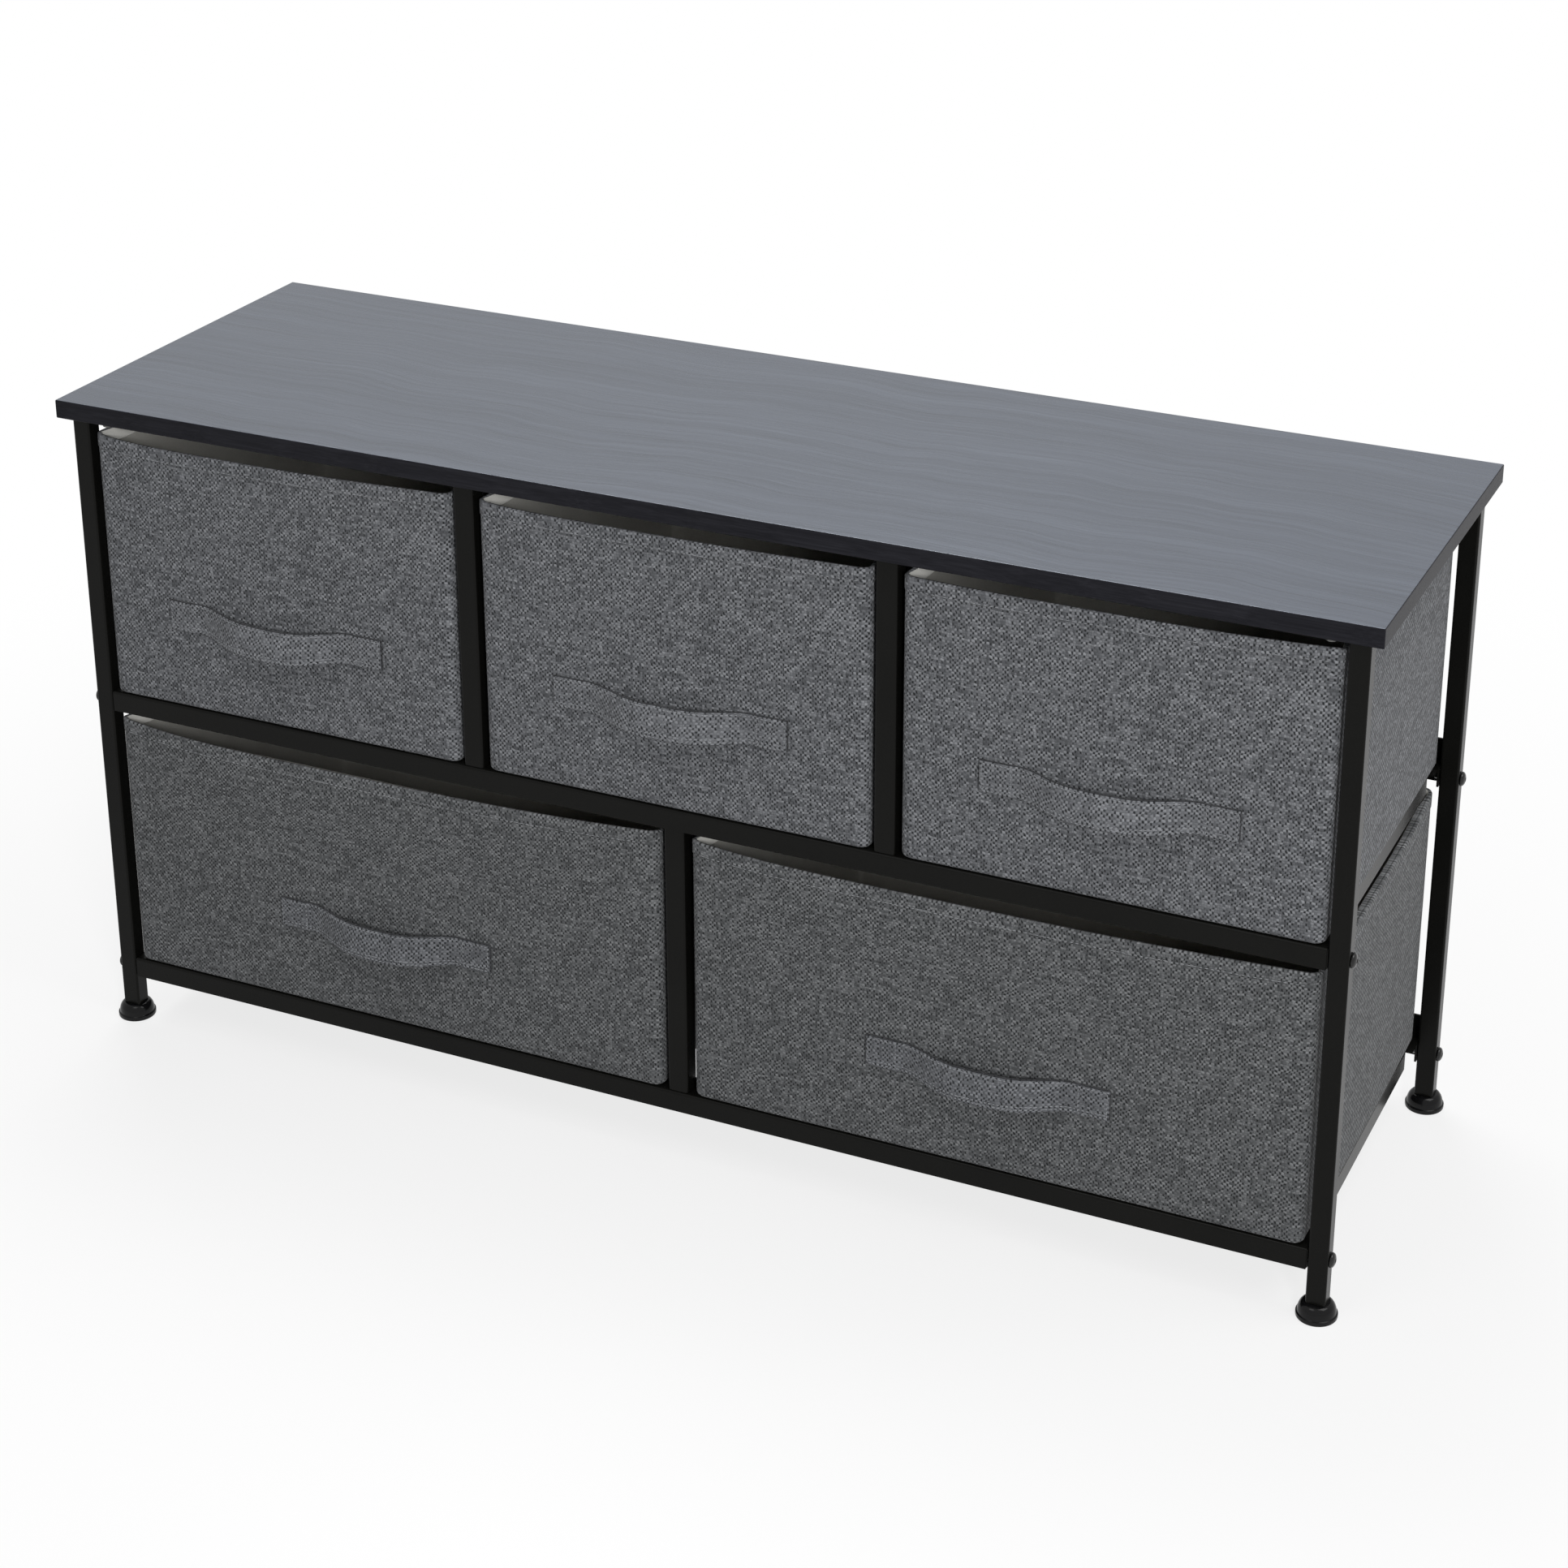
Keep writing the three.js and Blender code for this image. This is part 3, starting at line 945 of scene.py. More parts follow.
@dataclass
class FabricBin:
    """One sewn bin: its linen, lining, stiffeners, hem, stitches and strap."""

    body: str
    finishes: Materials
    wall: float = 2.2 * MM
    corner: float = 7.0 * MM
    corner_steps: int = 5
    foot_round: float = 3.0 * MM
    foot_turn: float = 0.8
    cell: float = 11.0 * MM
    crown: float = 1.2 * MM
    belly: float = 1.5 * MM
    belly_mean: float = 0.8
    belly_least: float = 0.3
    flare: float = 0.9 * MM
    ripples: Pair = (14.0, 0.5)
    creases: Pair = (37.0, 0.2)
    front_ripple: float = 0.35 * MM
    back_ripple: float = 0.6 * MM
    back_dip: float = 1.5 * MM
    dip_range: Pair = (0.2, 0.86)
    front_squareness: float = 3.5
    side_squareness: int = 3
    seed_steps: tuple[float, float, float] = (1.7, 9.0, 5.0)
    hem_depth: float = 11.0 * MM
    hem_rows: int = 3
    hem_proud: float = 0.5 * MM
    hem_soft: float = 1.0 * MM
    side_hem: float = 6.5 * MM
    side_hem_fade: float = 4.0
    front_hem: float = 3.4 * MM
    stitch_rise: float = 1.8 * MM
    pocket_round: float = 1.4 * MM
    low: Vector = field(init=False)
    high: Vector = field(init=False)
    middle: Vector = field(init=False)
    half: Vector = field(init=False)
    seed: Vector = field(init=False)
    drape: Drape = field(init=False)
    linen: bpy.types.Material = field(init=False)
    strap_linen: bpy.types.Material = field(init=False)

    def __post_init__(self) -> None:
        """Read the bin's place from its solids."""
        self.low, self.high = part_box(f"{self.body}_shell")
        self.middle = (self.low + self.high) / 2
        self.half = (self.high - self.low) / 2
        steps = zip((len(self.body), self.middle.x, self.middle.z), self.seed_steps)
        self.seed = Vector([size * step for size, step in steps])
        self.drape = DRAPES[self.body]
        # The lower row takes the darker copies of the linens: painted shade for the light that
        # falls off towards the bottom.
        row = "lower " if "lower" in self.body else ""
        self.linen = self.finishes[f"{row}linen"]
        self.strap_linen = self.finishes[f"{row}strap"]

    def build(self) -> None:
        """Make every piece of the bin."""
        self.make_skin()
        self.make_hem()
        self.make_stitches()
        for part, solid, grow in STIFFENERS:
            self.make_stiffener(part, f"{self.body}_{solid}", grow)
        Strap(self).build()

    def add(
        self,
        part: str,
        mesh: bmesh.types.BMesh,
        *materials: bpy.types.Material,
        slot: str = "charcoal_linen",
    ) -> bpy.types.Object:
        """Turn a mesh into a piece that moves with the bin.

        Args:
            part: The piece's name without the bin's.
            mesh: The mesh, which is freed.
            materials: The piece's materials in the order of the faces' indices.
            slot: Not used.

        Returns:
            The piece.
        """
        return finished_piece(f"{self.body}_{part}", mesh, materials, self.body)

    def girth(self, point: Vector, centre: Vector) -> float:
        """Measure how far round the sharp box a point lies from the middle of its front.

        Args:
            point: A point on the box's walls.
            centre: The middle of the point's face, which tells the right half from the left.

        Returns:
            The distance along the walls, below zero on the left half.
        """
        straight_x = self.half.x - self.corner
        straight_y = self.half.y - self.corner
        x = abs(point.x - self.middle.x)
        y = point.y - self.middle.y
        round_corner = straight_x + self.corner * math.pi / 2
        if y < -straight_y:
            turned = math.atan2(max(0.0, x - straight_x), -(y + straight_y))
            way = min(x, straight_x) + self.corner * turned
        elif y <= straight_y:
            way = round_corner + y + straight_y
        else:
            turned = math.atan2(y - straight_y, max(0.0, x - straight_x))
            past_side = self.corner * turned + max(0.0, straight_x - x)
            way = round_corner + 2 * straight_y + past_side
        return way if centre.x > self.middle.x else -way

    def settle(self, point: Vector, proud: float = 0.0) -> Vector:
        """Take a point of the sharp box to where the soft cloth lies.

        Args:
            point: A point on the box's walls or floor.
            proud: How far the point stands out from the skin.

        Returns:
            Where the point lies.
        """
        x, y, z = point - self.middle
        upright = share_to_edge(z, self.half.z)
        near_front = max(0.0, 1.0 - abs(y + self.half.y) / self.corner)
        near_back = max(0.0, 1.0 - abs(y - self.half.y) / self.corner)
        near_side = max(0.0, 1.0 - abs(abs(x) - self.half.x) / self.corner)
        wave = 0.0
        for scale, strength in (self.ripples, self.creases):
            wave += strength * noise.noise(point * scale + self.seed)
        across = share_to_edge(x, self.half.x)
        deep = share_to_edge(y, self.half.y)
        crown = self.crown * across * upright + proud + self.front_ripple * wave * across
        rise = self.belly_least + (1.0 - self.belly_least) * upright
        lean = (self.belly_mean + wave) * self.belly * deep * rise
        dip = self.rim_dip(x, y, near_front, near_back)
        moved = Vector(point)
        moved.y -= near_front * crown
        moved.y += near_back * (self.back_ripple * wave * across * upright + proud)
        moved.x += math.copysign(near_side, x) * (lean + proud + self.flare)
        moved.z -= ease(z / self.half.z, *self.dip_range) * dip
        return moved

    def rim_dip(self, x: float, y: float, near_front: float, near_back: float) -> float:
        """Give how far the rim hangs below the corners' height.

        Args:
            x: The place across the bin, from its middle.
            y: The place along its depth, from its middle.
            near_front: How much of the front's dip the place takes.
            near_back: How much of the back's dip it takes.

        Returns:
            The dip.
        """
        reach = x / self.half.x
        bend = reach - self.drape.deepest * (1.0 - reach * reach)
        front = self.drape.front_dip * max(0.0, 1.0 - abs(bend) ** self.front_squareness)
        front -= self.drape.corner_lift * max(0.0, reach) ** 2
        back = self.back_dip * share_to_edge(x, self.half.x)
        side = self.drape.side_dip * share_to_edge(y, self.half.y, self.side_squareness)
        on_side = max(0.0, 1.0 - near_front - near_back)
        return near_front * front + near_back * back + on_side * side

    def upright_box(self, low: Vector, high: Vector) -> bmesh.types.BMesh:
        """Make the walls and floor of a box with round upright edges, cut into cells.

        Args:
            low: The lowest corner.
            high: The highest corner.

        Returns:
            The open box.
        """
        mesh = bmesh.new()
        block(mesh, low, high)
        lids = [face for face in mesh.faces if face.normal.z > FACING]
        bmesh.ops.delete(mesh, geom=lids, context="FACES_ONLY")
        climbs = [(e, abs(e.verts[0].co.z - e.verts[1].co.z)) for e in mesh.edges]
        upright = [edge for edge, climb in climbs if climb > self.foot_round]
        round_edges(mesh, upright, self.corner, self.corner_steps)
        grid_cuts(mesh, X_AXIS, low.x + self.corner, high.x - self.corner, self.cell)
        grid_cuts(mesh, Y_AXIS, low.y + self.corner, high.y - self.corner, self.cell)
        return mesh

    def make_skin(self) -> None:
        """Make the linen outside with the lining inside it.
        """
        mesh = self.upright_box(self.low, self.high)
        floor_rim = self.low.z + self.foot_round
        inner = [e for e in mesh.edges if len(e.link_faces) == 2]
        floor = [e for e in inner if all(v.co.z < floor_rim for v in e.verts)]
        turning = [e for e in floor if abs(e.calc_face_angle(0.0)) > self.foot_turn]
        round_edges(mesh, turning, self.foot_round)
        grid_cuts(mesh, Z_AXIS, floor_rim, self.high.z, self.cell)
        lay_cloth(mesh, self.girth)
        for vert in mesh.verts:
            vert.co = self.settle(vert.co)
        self.face_out(mesh)
        piece = self.add("linen", mesh, self.linen, self.finishes["lining"])
        wall = piece.modifiers.new("wall", "SOLIDIFY")
        wall.thickness = self.wall
        wall.offset = -1.0
        wall.material_offset = 1
        wall.material_offset_rim = 0
        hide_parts(f"{self.body}_shell")

    @staticmethod
    def face_out(mesh: bmesh.types.BMesh) -> None:
        """Turn an open box's faces so that they point away from its middle.

        Args:
            mesh: The open box.
        """
        bmesh.ops.recalc_face_normals(mesh, faces=mesh.faces[:])
        front = min(mesh.faces, key=lambda face: face.calc_center_median().y)
        if front.normal.y > 0:
            bmesh.ops.reverse_faces(mesh, faces=mesh.faces[:])

    def make_hem(self) -> None:
        """Make the folded band that runs round the rim, fuller on the side walls.
        """
        low = Vector((self.low.x, self.low.y, self.high.z - self.hem_depth))
        mesh = self.upright_box(low, self.high)
        floors = [face for face in mesh.faces if face.normal.z < -FACING]
        bmesh.ops.delete(mesh, geom=floors, context="FACES")
        grid_cuts(mesh, Z_AXIS, low.z, self.high.z, self.hem_depth / self.hem_rows)
        lay_cloth(mesh, self.girth)
        fullness = [self.side_fullness(vert.co) for vert in mesh.verts]
        for vert in mesh.verts:
            vert.co = self.settle(vert.co, self.hem_proud)
        self.face_out(mesh)
        piece = self.add("hem", mesh, self.linen, self.finishes["hem lining"])
        full = piece.vertex_groups.new(name="full")
        for index, share in enumerate(fullness):
            full.add([index], share, "REPLACE")
        fold = piece.modifiers.new("fold", "SOLIDIFY")
        fold.thickness = self.side_hem
        fold.vertex_group = full.name
        fold.thickness_vertex_group = self.front_hem / self.side_hem
        fold.offset = -1.0
        fold.material_offset = 1
        fold.material_offset_rim = 0
        soft = piece.modifiers.new("soft edge", "BEVEL")
        soft.width = self.hem_soft
        soft.segments = ROUND_STEPS
        soft.limit_method = "ANGLE"

    def side_fullness(self, point: Vector) -> float:
        """Give how much of the side walls' full hem a point has.

        Args:
            point: A point on the sharp box's walls.

        Returns:
            The share, from zero to one.
        """
        if abs(abs(point.x - self.middle.x) - self.half.x) >= self.corner / 2:
            return 0.0
        full_to = self.half.y - self.side_hem_fade * self.corner
        return 1.0 - ease(abs(point.y - self.middle.y), full_to, self.half.y - self.corner)

    def wall_line(self, side: Side, height: float) -> SewingLine:
        """Give a sewing line along one wall.

        Args:
            side: The wall.
            height: The line's height.

        Returns:
            The line, between the wall's round corners.
        """
        x, y = side.value
        reach_x = self.half.x - self.corner
        reach_y = self.half.y - self.corner
        centre = self.middle + Vector((x * self.half.x, y * self.half.y, 0))
        along = Vector((-y * reach_x, x * reach_y, 0))
        centre.z = height
        return SewingLine(centre - along, centre + along, Vector((x, y, 0)))

    def make_stitches(self) -> None:
        """Sew the hem along its lower edge.
        """
        mesh = bmesh.new()
        height = self.high.z - self.hem_depth + self.stitch_rise
        for side in Side:
            line = self.wall_line(side, height)
            line.sew(mesh, lambda point: self.settle(point, self.hem_proud))
        self.add("hem_stitches", mesh, self.finishes["thread"])

    def make_stiffener(self, part: str, node: str, grow: float) -> None:
        """Make a stiffener in its lining.

        Args:
            part: The piece's name without the bin's.
            node: The solid that the stiffener stands for.
            grow: How far the lining stands out from the board.
        """
        low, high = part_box(node)
        swell = Vector((grow, grow, grow))
        mesh = bmesh.new()
        block(mesh, low - swell, high + swell)
        round_edges(mesh, mesh.edges[:], self.pocket_round)
        piece = self.add(part, mesh, self.finishes["lining"], slot="stiffener_board")
        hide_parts(node)


@dataclass
class Strap:
    """The strap handle on a bin's front."""

    owner: FabricBin
    patch: float = 25.0 * MM
    thickness: float = 2.4 * MM
    turned_under: float = 0.8 * MM
    edge_round: float = 0.9 * MM
    cell: float = 3.0 * MM
    droop: float = 1.0 * MM
    tilt: float = 5.0 * MM
    curl: float = 0.9 * MM
    flatness: float = 3.0
    runout: float = 2.5
    patch_fade: float = 2.0 * MM
    crumple: float = 0.4 * MM
    crumple_scale: float = 55.0
    patch_crumple: float = 0.25
    face_toward: float = 0.8
    stitch_inset: float = 2.0 * MM
    stitch_length: float = 2.2 * MM
    stitch_gap: float = 0.9 * MM
    row_gap: float = 2.4 * MM
    node: str = field(init=False)
    low: Vector = field(init=False)
    high: Vector = field(init=False)
    middle_x: float = field(init=False)
    top: float = field(init=False)
    bottom: float = field(init=False)
    free: float = field(init=False)
    seat: float = field(init=False)
    bulge: float = field(init=False)

    def __post_init__(self) -> None:
        """Read the strap's place from its solid."""
        self.node = f"{self.owner.body}_handle"
        self.low, self.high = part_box(self.node)
        self.middle_x = (self.low.x + self.high.x) / 2
        self.top = self.high.z
        self.bottom = self.low.z + self.droop
        self.free = (self.high.x - self.low.x) / 2 - self.patch
        self.seat = self.high.y
        self.bulge = self.seat - self.low.y - self.thickness

    def lift(self, x: float) -> float:
        """Give how far the strap stands out at a place, as a share of its bulge.

        Args:
            x: The place along the strap.

        Returns:
            The share.
        """
        reach = min(abs(x - self.middle_x) / self.free, 1.0)
        return (1.0 - reach**self.flatness) ** self.runout

    def bend(self, point: Vector) -> Vector:
        """Take a point of the flat strap to where it lies.

        Args:
            point: The point.

        Returns:
            Where the point lies.
        """
        lift = self.lift(point.x)
        along = point.x - self.middle_x
        middle_z = (self.top + self.bottom) / 2
        half_width = (self.top - self.bottom) / 2
        across = (point.z - middle_z) / half_width
        curl = self.curl * across**2 * lift
        leaning = self.tilt * lift * across / 2
        wave = noise.noise(point * self.crumple_scale + self.owner.seed) * self.crumple
        flat = Vector((point.x, self.owner.low.y, middle_z))
        crown = self.owner.settle(flat).y - self.owner.low.y
        outer = (self.seat - point.y) / self.thickness
        at_patch = ease(abs(along), self.free, self.free + self.patch_fade)
        droop = self.droop + self.owner.drape.strap_droop
        tilt = self.owner.drape.strap_tilt * along / self.free
        moved = Vector(point)
        moved.y += crown - self.bulge * lift + curl + leaning + wave * (self.patch_crumple + lift)
        moved.y -= self.turned_under * outer * at_patch
        moved.z -= (droop + tilt) * lift
        return moved

    def build(self) -> None:
        """Make the strap with its folded edges, darkened as painted shade, and its sewing.
        """
        mesh = bmesh.new()
        low = Vector((self.low.x, self.seat - self.thickness, self.bottom))
        high = Vector((self.high.x, self.seat, self.top))
        block(mesh, low, high)
        round_edges(mesh, mesh.edges[:], self.edge_round)
        grid_cuts(mesh, X_AXIS, low.x + self.cell, high.x - self.cell, self.cell)
        grid_cuts(mesh, Z_AXIS, low.z + self.cell, high.z - self.cell, self.cell)
        lay_cloth(mesh)
        # Faces that don't look forward get the dark edge linen: painted shade along the strap's
        # edges.
        for face in mesh.faces:
            face.material_index = 0 if face.normal.y < -self.face_toward else 1
        for vert in mesh.verts:
            vert.co = self.bend(vert.co)
        looks = (self.owner.strap_linen, self.owner.finishes["fold"])
        piece = self.owner.add("strap", mesh, *looks, slot="strap_linen")
        self.sew(low, high)
        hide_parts(self.node)

    def sew(self, low: Vector, high: Vector) -> None:
        """Sew the strap's long edges and a square on each end.

        Args:
            low: The flat strap's lowest corner.
            high: Its highest corner.
        """
        mesh = bmesh.new()
        inset = self.stitch_inset
        left, right = low.x + inset, high.x - inset
        bottom, top = low.z + inset, high.z - inset
        inner_left, inner_right = low.x + self.patch - inset, high.x - self.patch + inset
        runs = [((left, z), (right, z)) for z in (bottom, bottom + self.row_gap, top)]
        runs += [((x, bottom), (x, top)) for x in (left, inner_left, inner_right, right)]
        for (x0, z0), (x1, z1) in runs:
            line = SewingLine(
                Vector((x0, low.y, z0)),
                Vector((x1, low.y, z1)),
                -Y_AXIS,
                length=self.stitch_length,
                gap=self.stitch_gap,
            )
            line.sew(mesh, self.bend)
        thread = self.owner.finishes["thread"]
        self.owner.add("strap_stitches", mesh, thread, slot="strap_linen")


@dataclass
class Turned:
    """A round piece made by spinning a profile about an axis."""

    name: str
    node: str
    axis: Vector
    origin: Vector
    profile: Sequence[Pair]
    material: bpy.types.Material
    slot: str
    steps: int = 48
    socket: float = 0.0

    def build(self) -> None:
        """Spin the profile, and make the rings inside the socket's radius six-sided.
        """
        mesh = bmesh.new()
        verts = [mesh.verts.new((radius, 0.0, height)) for radius, height in self.profile]
        edges = [mesh.edges.new(pair) for pair in zip(verts, verts[1:])]
        bmesh.ops.spin(
            mesh,
            geom=verts + edges,
            cent=(0, 0, 0),
            axis=(0, 0, 1),
            angle=math.tau,
            steps=self.steps,
            use_merge=True,
        )
        bmesh.ops.remove_doubles(mesh, verts=mesh.verts[:], dist=SAME_PLACE)
        bmesh.ops.recalc_face_normals(mesh, faces=mesh.faces[:])
        side = math.pi / 3
        for vert in mesh.verts:
            radius = math.hypot(vert.co.x, vert.co.y)
            if vert.co.z > 0 and 0 < radius < self.socket:
                turned = math.atan2(vert.co.y, vert.co.x) % side - side / 2
                share = math.cos(side / 2) / math.cos(turned)
                vert.co.x *= share
                vert.co.y *= share
        turn = self.axis.to_track_quat("Z", "Y").to_matrix().to_4x4()
        place = Matrix.Translation(self.origin) @ turn
        bmesh.ops.transform(mesh, matrix=place, verts=mesh.verts[:])
        piece = finished_piece(self.name, mesh, (self.material,), "frame")
        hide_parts(self.node)


def quarter_round(
    centre: Pair,
    sizes: Pair,
    angles: Pair,
    steps: int,
) -> list[Pair]:
    """Give the points of an arc of a profile.

    Args:
        centre: The arc's middle, as radius and height.
        sizes: Its half-axes, as radius and height.
        angles: Where it starts and ends, in degrees.
        steps: How many steps it has.

    Returns:
        The points.
    """
    points = []
    for i in range(steps + 1):
        angle = math.radians(angles[0] + (angles[1] - angles[0]) * i / steps)
        radius = centre[0] + sizes[0] * math.cos(angle)
        points.append((radius, centre[1] + sizes[1] * math.sin(angle)))
    return points


@dataclass
class SteelFrame:
    """The board, tubes and rails, with the small turned parts."""

    nodes: dict[str, bpy.types.Object]
    finishes: Materials
    board_round: float = 0.9 * MM
    foot_height: float = 12.0 * MM
    foot_rim: float = 3.6 * MM
    foot_ledge: float = 0.95 * MM
    foot_neck: float = 8.5 * MM
    foot_sole: float = 1.0 * MM
    foot_lip: float = 0.5 * MM
    foot_tuck: float = 0.2 * MM
    foot_steps: int = 64
    head_height: float = 3.4 * MM
    head_brim: float = 0.7 * MM
    head_chamfer: Pair = (0.3 * MM, 0.2 * MM)
    head_dome: float = 66.0
    shank: float = 3.0 * MM
    shank_chamfer: float = 0.5 * MM
    socket: float = 2.0 * MM
    socket_lip: tuple[Pair, Pair] = ((1.9 * MM, 0.15 * MM), (1.8 * MM, 0.4 * MM))
    socket_floor: tuple[Pair, Pair] = ((1.75 * MM, 1.3 * MM), (0.0, 1.0 * MM))

    def build(self) -> None:
        """Finish the carried-over solids and make the turned parts."""
        for name, node in sorted(self.nodes.items()):
            if name == "top_board":
                self.make_board(name)
            elif name.startswith(("leg_", "rail_", "divider_")):
                self.dress(node, self.finishes["powder"])
            elif name.startswith("foot_"):
                self.make_foot(name)
            elif name.startswith("bolt_"):
                self.make_bolt(name)
            elif name.startswith("screw_"):
                self.dress(node, self.finishes["screw"])

    @staticmethod
    def dress(node: bpy.types.Object, material: bpy.types.Material) -> None:
        """Give a solid its finish.

        Args:
            node: The solid.
            material: The finish.
        """
        for slot in node.material_slots:
            slot.material = material
        log.info("%s: keeps its solid, finished as %s", node.name, material.name)

    def make_board(self, name: str) -> None:
        """Make the board with laminate faces and banded edges.

        Args:
            name: The board's node.
        """
        low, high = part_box(name)
        mesh = bmesh.new()
        block(mesh, low, high)
        round_edges(mesh, mesh.edges[:], self.board_round)
        mesh.normal_update()
        for face in mesh.faces:
            face.material_index = 0 if abs(face.normal.z) > FACING else 1
        piece = finished_piece(
            "laminate_board",
            mesh,
            (self.finishes["laminate"], self.finishes["edge band"]),
            "frame",
        )
        weighted = piece.modifiers.new("flat faces", "WEIGHTED_NORMAL")
        weighted.keep_sharp = True
        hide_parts(name)

    def make_foot(self, name: str) -> None:
        """Make one domed foot with its rim.

        Args:
            name: The foot's node.
        """
        low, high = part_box(name)
        centre = (low + high) / 2
        rim = (high.y - low.y) / 2
        sole, lip = self.foot_sole, self.foot_lip
        dome_from = self.foot_rim - self.foot_tuck
        dome_reach = rim - self.foot_ledge - self.foot_neck
        profile = [(0.0, 0.0)]
        profile += quarter_round((rim - sole, sole), (sole, sole), (-90, 0), steps=4)
        profile += quarter_round((rim - lip, self.foot_rim - lip), (lip, lip), (0, 90), steps=3)
        dome = (dome_reach, self.foot_height - dome_from)
        profile += quarter_round((self.foot_neck, dome_from), dome, (0, 90), steps=12)
        profile.append((0.0, self.foot_height))
        Turned(
            f"{name}_dome",
            name,
            Z_AXIS,
            Vector((centre.x, centre.y, low.z)),
            profile,
            self.finishes["foot"],
            "foot_plastic",
            steps=self.foot_steps,
        ).build()

    def make_bolt(self, name: str) -> None:
        """Make one bolt with a domed head and a six-sided socket.

        Args:
            name: The bolt's node.
        """
        low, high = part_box(name)
        centre = (low + high) / 2
        outward = math.copysign(1.0, centre.x)
        radius = (high.z - low.z) / 2
        tip = high.x if outward > 0 else low.x
        length = (high.x - low.x) - self.head_height
        chamfer = self.shank_chamfer
        under, rise = self.head_chamfer
        crown = self.head_height - self.head_brim
        profile = [(0.0, -length), (self.shank - chamfer, -length), (self.shank, chamfer - length)]
        profile += [(self.shank, 0.0), (radius - under, 0.0), (radius, rise)]
        dome = (0, self.head_dome)
        profile += quarter_round((0.0, self.head_brim), (radius, crown), dome, steps=8)
        profile += [(lip, self.head_height - depth) for lip, depth in self.socket_lip]
        profile += self.socket_floor
        Turned(
            f"{name}_domed",
            name,
            outward * X_AXIS,
            Vector((tip - outward * self.head_height, centre.y, centre.z)),
            profile,
            self.finishes["bolt"],
            "bolt_steel",
            socket=self.socket,
        ).build()


@dataclass(frozen=True)
class StudioLamp:
    """A soft square lamp that points at the dresser."""

    name: str
    azimuth: float
    elevation: float
    distance: float
    size: float
    power: float
    reflected: bool = True

    def hang(self, target: Vector) -> None:
        """Put the lamp in the scene.

        Args:
            target: What the lamp points at.
        """
        around = math.radians(self.azimuth)
        above = math.radians(self.elevation)
        flat = math.cos(above)
        away = Vector((math.sin(around) * flat, -math.cos(around) * flat, math.sin(above)))
        light = bpy.data.lights.new(self.name, "AREA")
        light.shape = "SQUARE"
        light.size = self.size
        light.energy = self.power
        lamp = bpy.data.objects.new(self.name, light)
        lamp.location = target + away * self.distance
        lamp.rotation_mode = "QUATERNION"
        lamp.rotation_quaternion = (-away).to_track_quat("-Z", "Y")
        lamp.visible_glossy = self.reflected
        bpy.context.scene.collection.objects.link(lamp)


# Azimuth from the front towards the right and elevation in degrees, distance, size, watts.
LAMPS = (
    StudioLamp("key lamp", 36.0, 19.0, 4.4, 0.8, 100.0, reflected=False),
    StudioLamp("top lamp", -10.0, 54.0, 1.9, 0.8, 5.0),
    StudioLamp("side lamp", 90.0, 52.0, 2.2, 1.2, 18.0),
    StudioLamp("rear lamp", 215.0, 62.0, 3.2, 1.6, 58.0),
)


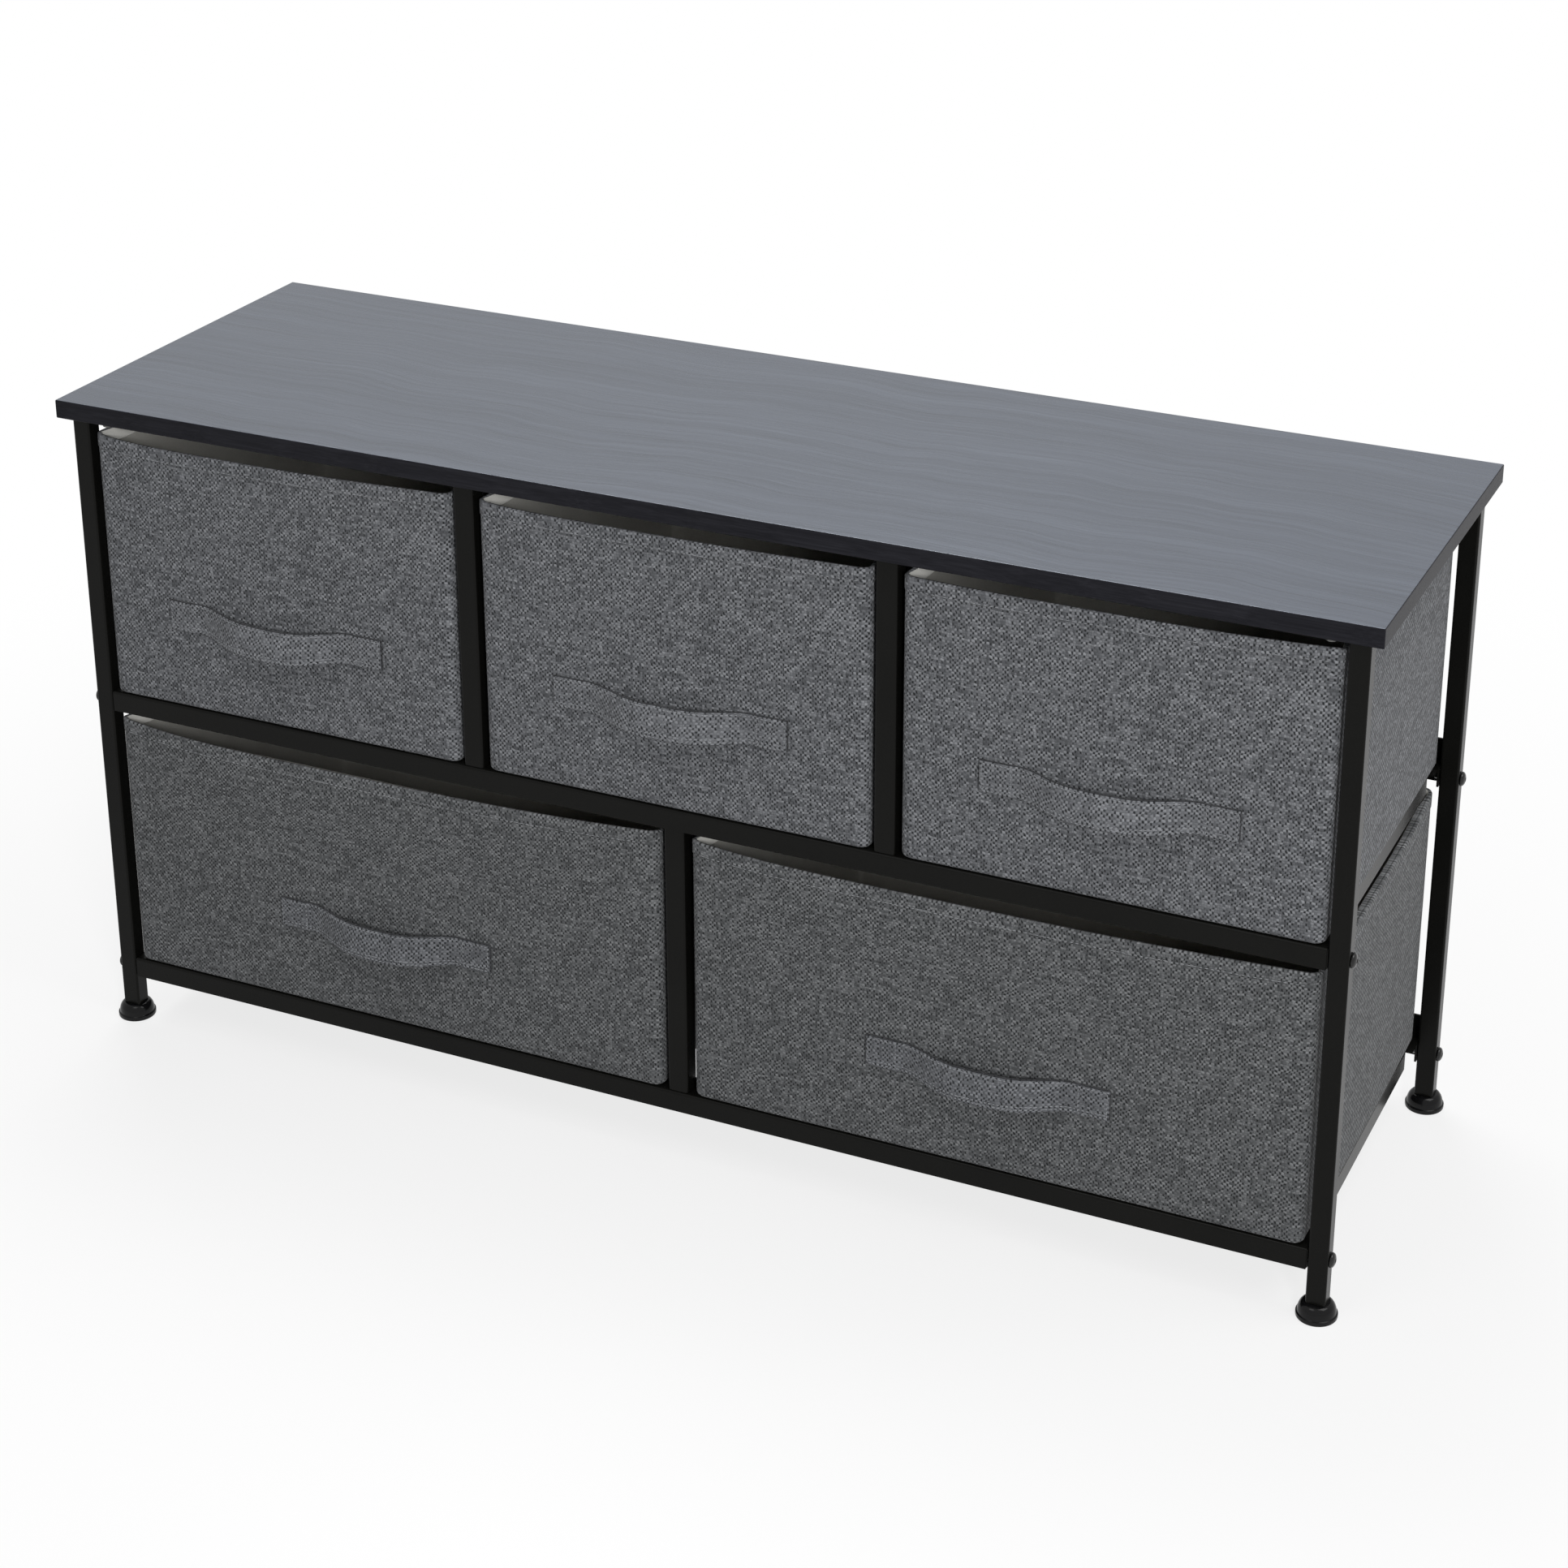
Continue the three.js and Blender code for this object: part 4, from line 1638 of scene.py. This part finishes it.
@dataclass(frozen=True)
class Studio:
    """The pale floor, the lamps, the white surroundings and the camera.

    Attributes:
        floor_span: The floor's width.
        floor_greys: Stops of the floor's colour, from what lights the dresser to what is seen.
        floor_clouds: How many waves a metre of the floor's unevenness has.
        cloud_share: How much of the floor's colour follows the unevenness.
        floor_roughness: How dull the floor is.
        floor_specular: How strongly it reflects at all.
        near_white: How much of its own white the floor shows near the dresser.
        white_range: Where it starts to show more, and from where it shows nothing else.
        ambient: How strongly the surroundings light the dresser.
        reflected_white: How much of their white is seen by reflection.
    """

    floor_span: float = 14.0
    floor_greys: tuple[Pair, ...] = ((0.0, 0.17), (0.3, 0.2), (1.0, 0.95))
    floor_clouds: float = 0.8
    cloud_share: float = 0.3
    floor_roughness: float = 0.9
    floor_specular: float = 0.1
    near_white: float = 0.76
    white_range: Pair = (0.5, 1.3)
    ambient: float = 0.304
    reflected_white: float = 0.71
    lamp_target: Vector = Vector((0.0, 0.0, 0.34))
    camera_place: Vector = Vector((0.9291, -1.94185, 1.3160))
    camera_aim: Vector = Vector((-0.3751, 0.8510, -0.3676))
    camera_roll: float = math.radians(0.33)
    lens: float = 73.64
    sensor_width: float = 36.0
    clip: Pair = (0.05, 60.0)
    shift_x: float = -0.0435
    shift_y: float = -0.1791

    def build(self) -> None:
        """Set up everything that isn't the dresser."""
        self.lay_floor()
        self.light_surroundings()
        for lamp in LAMPS:
            lamp.hang(self.lamp_target)
        self.set_camera()
        bpy.context.scene.view_settings.view_transform = "Standard"

    def lay_floor(self) -> None:
        """Lay the pale floor, whose far parts pass into the white surroundings."""
        mesh = bmesh.new()
        bmesh.ops.create_grid(mesh, x_segments=1, y_segments=1, size=self.floor_span / 2)
        data = bpy.data.meshes.new("floor")
        mesh.to_mesh(data)
        mesh.free()
        pale = Shader("pale floor")
        place = pale.objects()
        clouds = pale.clouds(place, self.floor_clouds)
        seen = pale.seen()
        shade = pale.blend(seen, 0.0, 1.0 - self.cloud_share)
        tone = pale.maths("MULTIPLY_ADD", clouds, self.cloud_share, shade)
        colour = pale.ramp(tone, [(stop, (grey, grey, grey)) for stop, grey in self.floor_greys])
        pale.coat(
            {
                "Base Color": colour,
                "Roughness": self.floor_roughness,
                "Specular IOR Level": self.floor_specular,
            }
        )
        glow = pale.node("Emission").outputs["Emission"]
        distance = pale.node("VectorMath", place, operation="LENGTH").outputs["Value"]
        ends = (*self.white_range, self.near_white, 1.0)
        fade = pale.node("MapRange", distance, *ends, interpolation_type="SMOOTHSTEP", clamp=True)
        share = pale.maths("MULTIPLY", fade.outputs["Result"], seen)
        mix = pale.node("MixShader", share, pale.surface.outputs["BSDF"], glow)
        pale.feed(pale.output.inputs["Surface"], mix.outputs[0])
        data.materials.append(pale.material)
        floor = bpy.data.objects.new("floor", data)
        bpy.context.scene.collection.objects.link(floor)

    def light_surroundings(self) -> None:
        """Make the surroundings white to the eye and softer as a light."""
        world = bpy.data.worlds.new("white studio")
        bpy.context.scene.world = world
        world.use_nodes = True
        air = Wiring(world.node_tree)
        strength = air.blend(air.seen(self.reflected_white), self.ambient, 1.0)
        air.node("OutputWorld", air.node("Background", WHITE, strength).outputs[0])

    def set_camera(self) -> None:
        """Put the camera where the photograph was taken from."""
        data = bpy.data.cameras.new("camera")
        data.sensor_fit = "HORIZONTAL"
        data.sensor_width = self.sensor_width
        data.lens = self.lens
        data.shift_x = self.shift_x
        data.shift_y = self.shift_y
        data.clip_start, data.clip_end = self.clip
        camera = bpy.data.objects.new("camera", data)
        camera.location = self.camera_place
        camera.rotation_mode = "QUATERNION"
        level = self.camera_aim.to_track_quat("-Z", "Y")
        camera.rotation_quaternion = level @ Quaternion(Z_AXIS, self.camera_roll)
        bpy.context.scene.collection.objects.link(camera)
        bpy.context.scene.camera = camera


def main() -> None:
    """Build the dresser in its studio."""
    logging.basicConfig(level=logging.INFO, format="%(name)s: %(message)s")
    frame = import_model()
    Studio().build()
    finishes = {key: finish.material() for key, finish in FINISHES.items()}
    SteelFrame(frame["nodes"], finishes).build()
    for body in sorted(DRAPES):
        FabricBin(body, finishes).build()


if __name__ == "__main__":
    main()
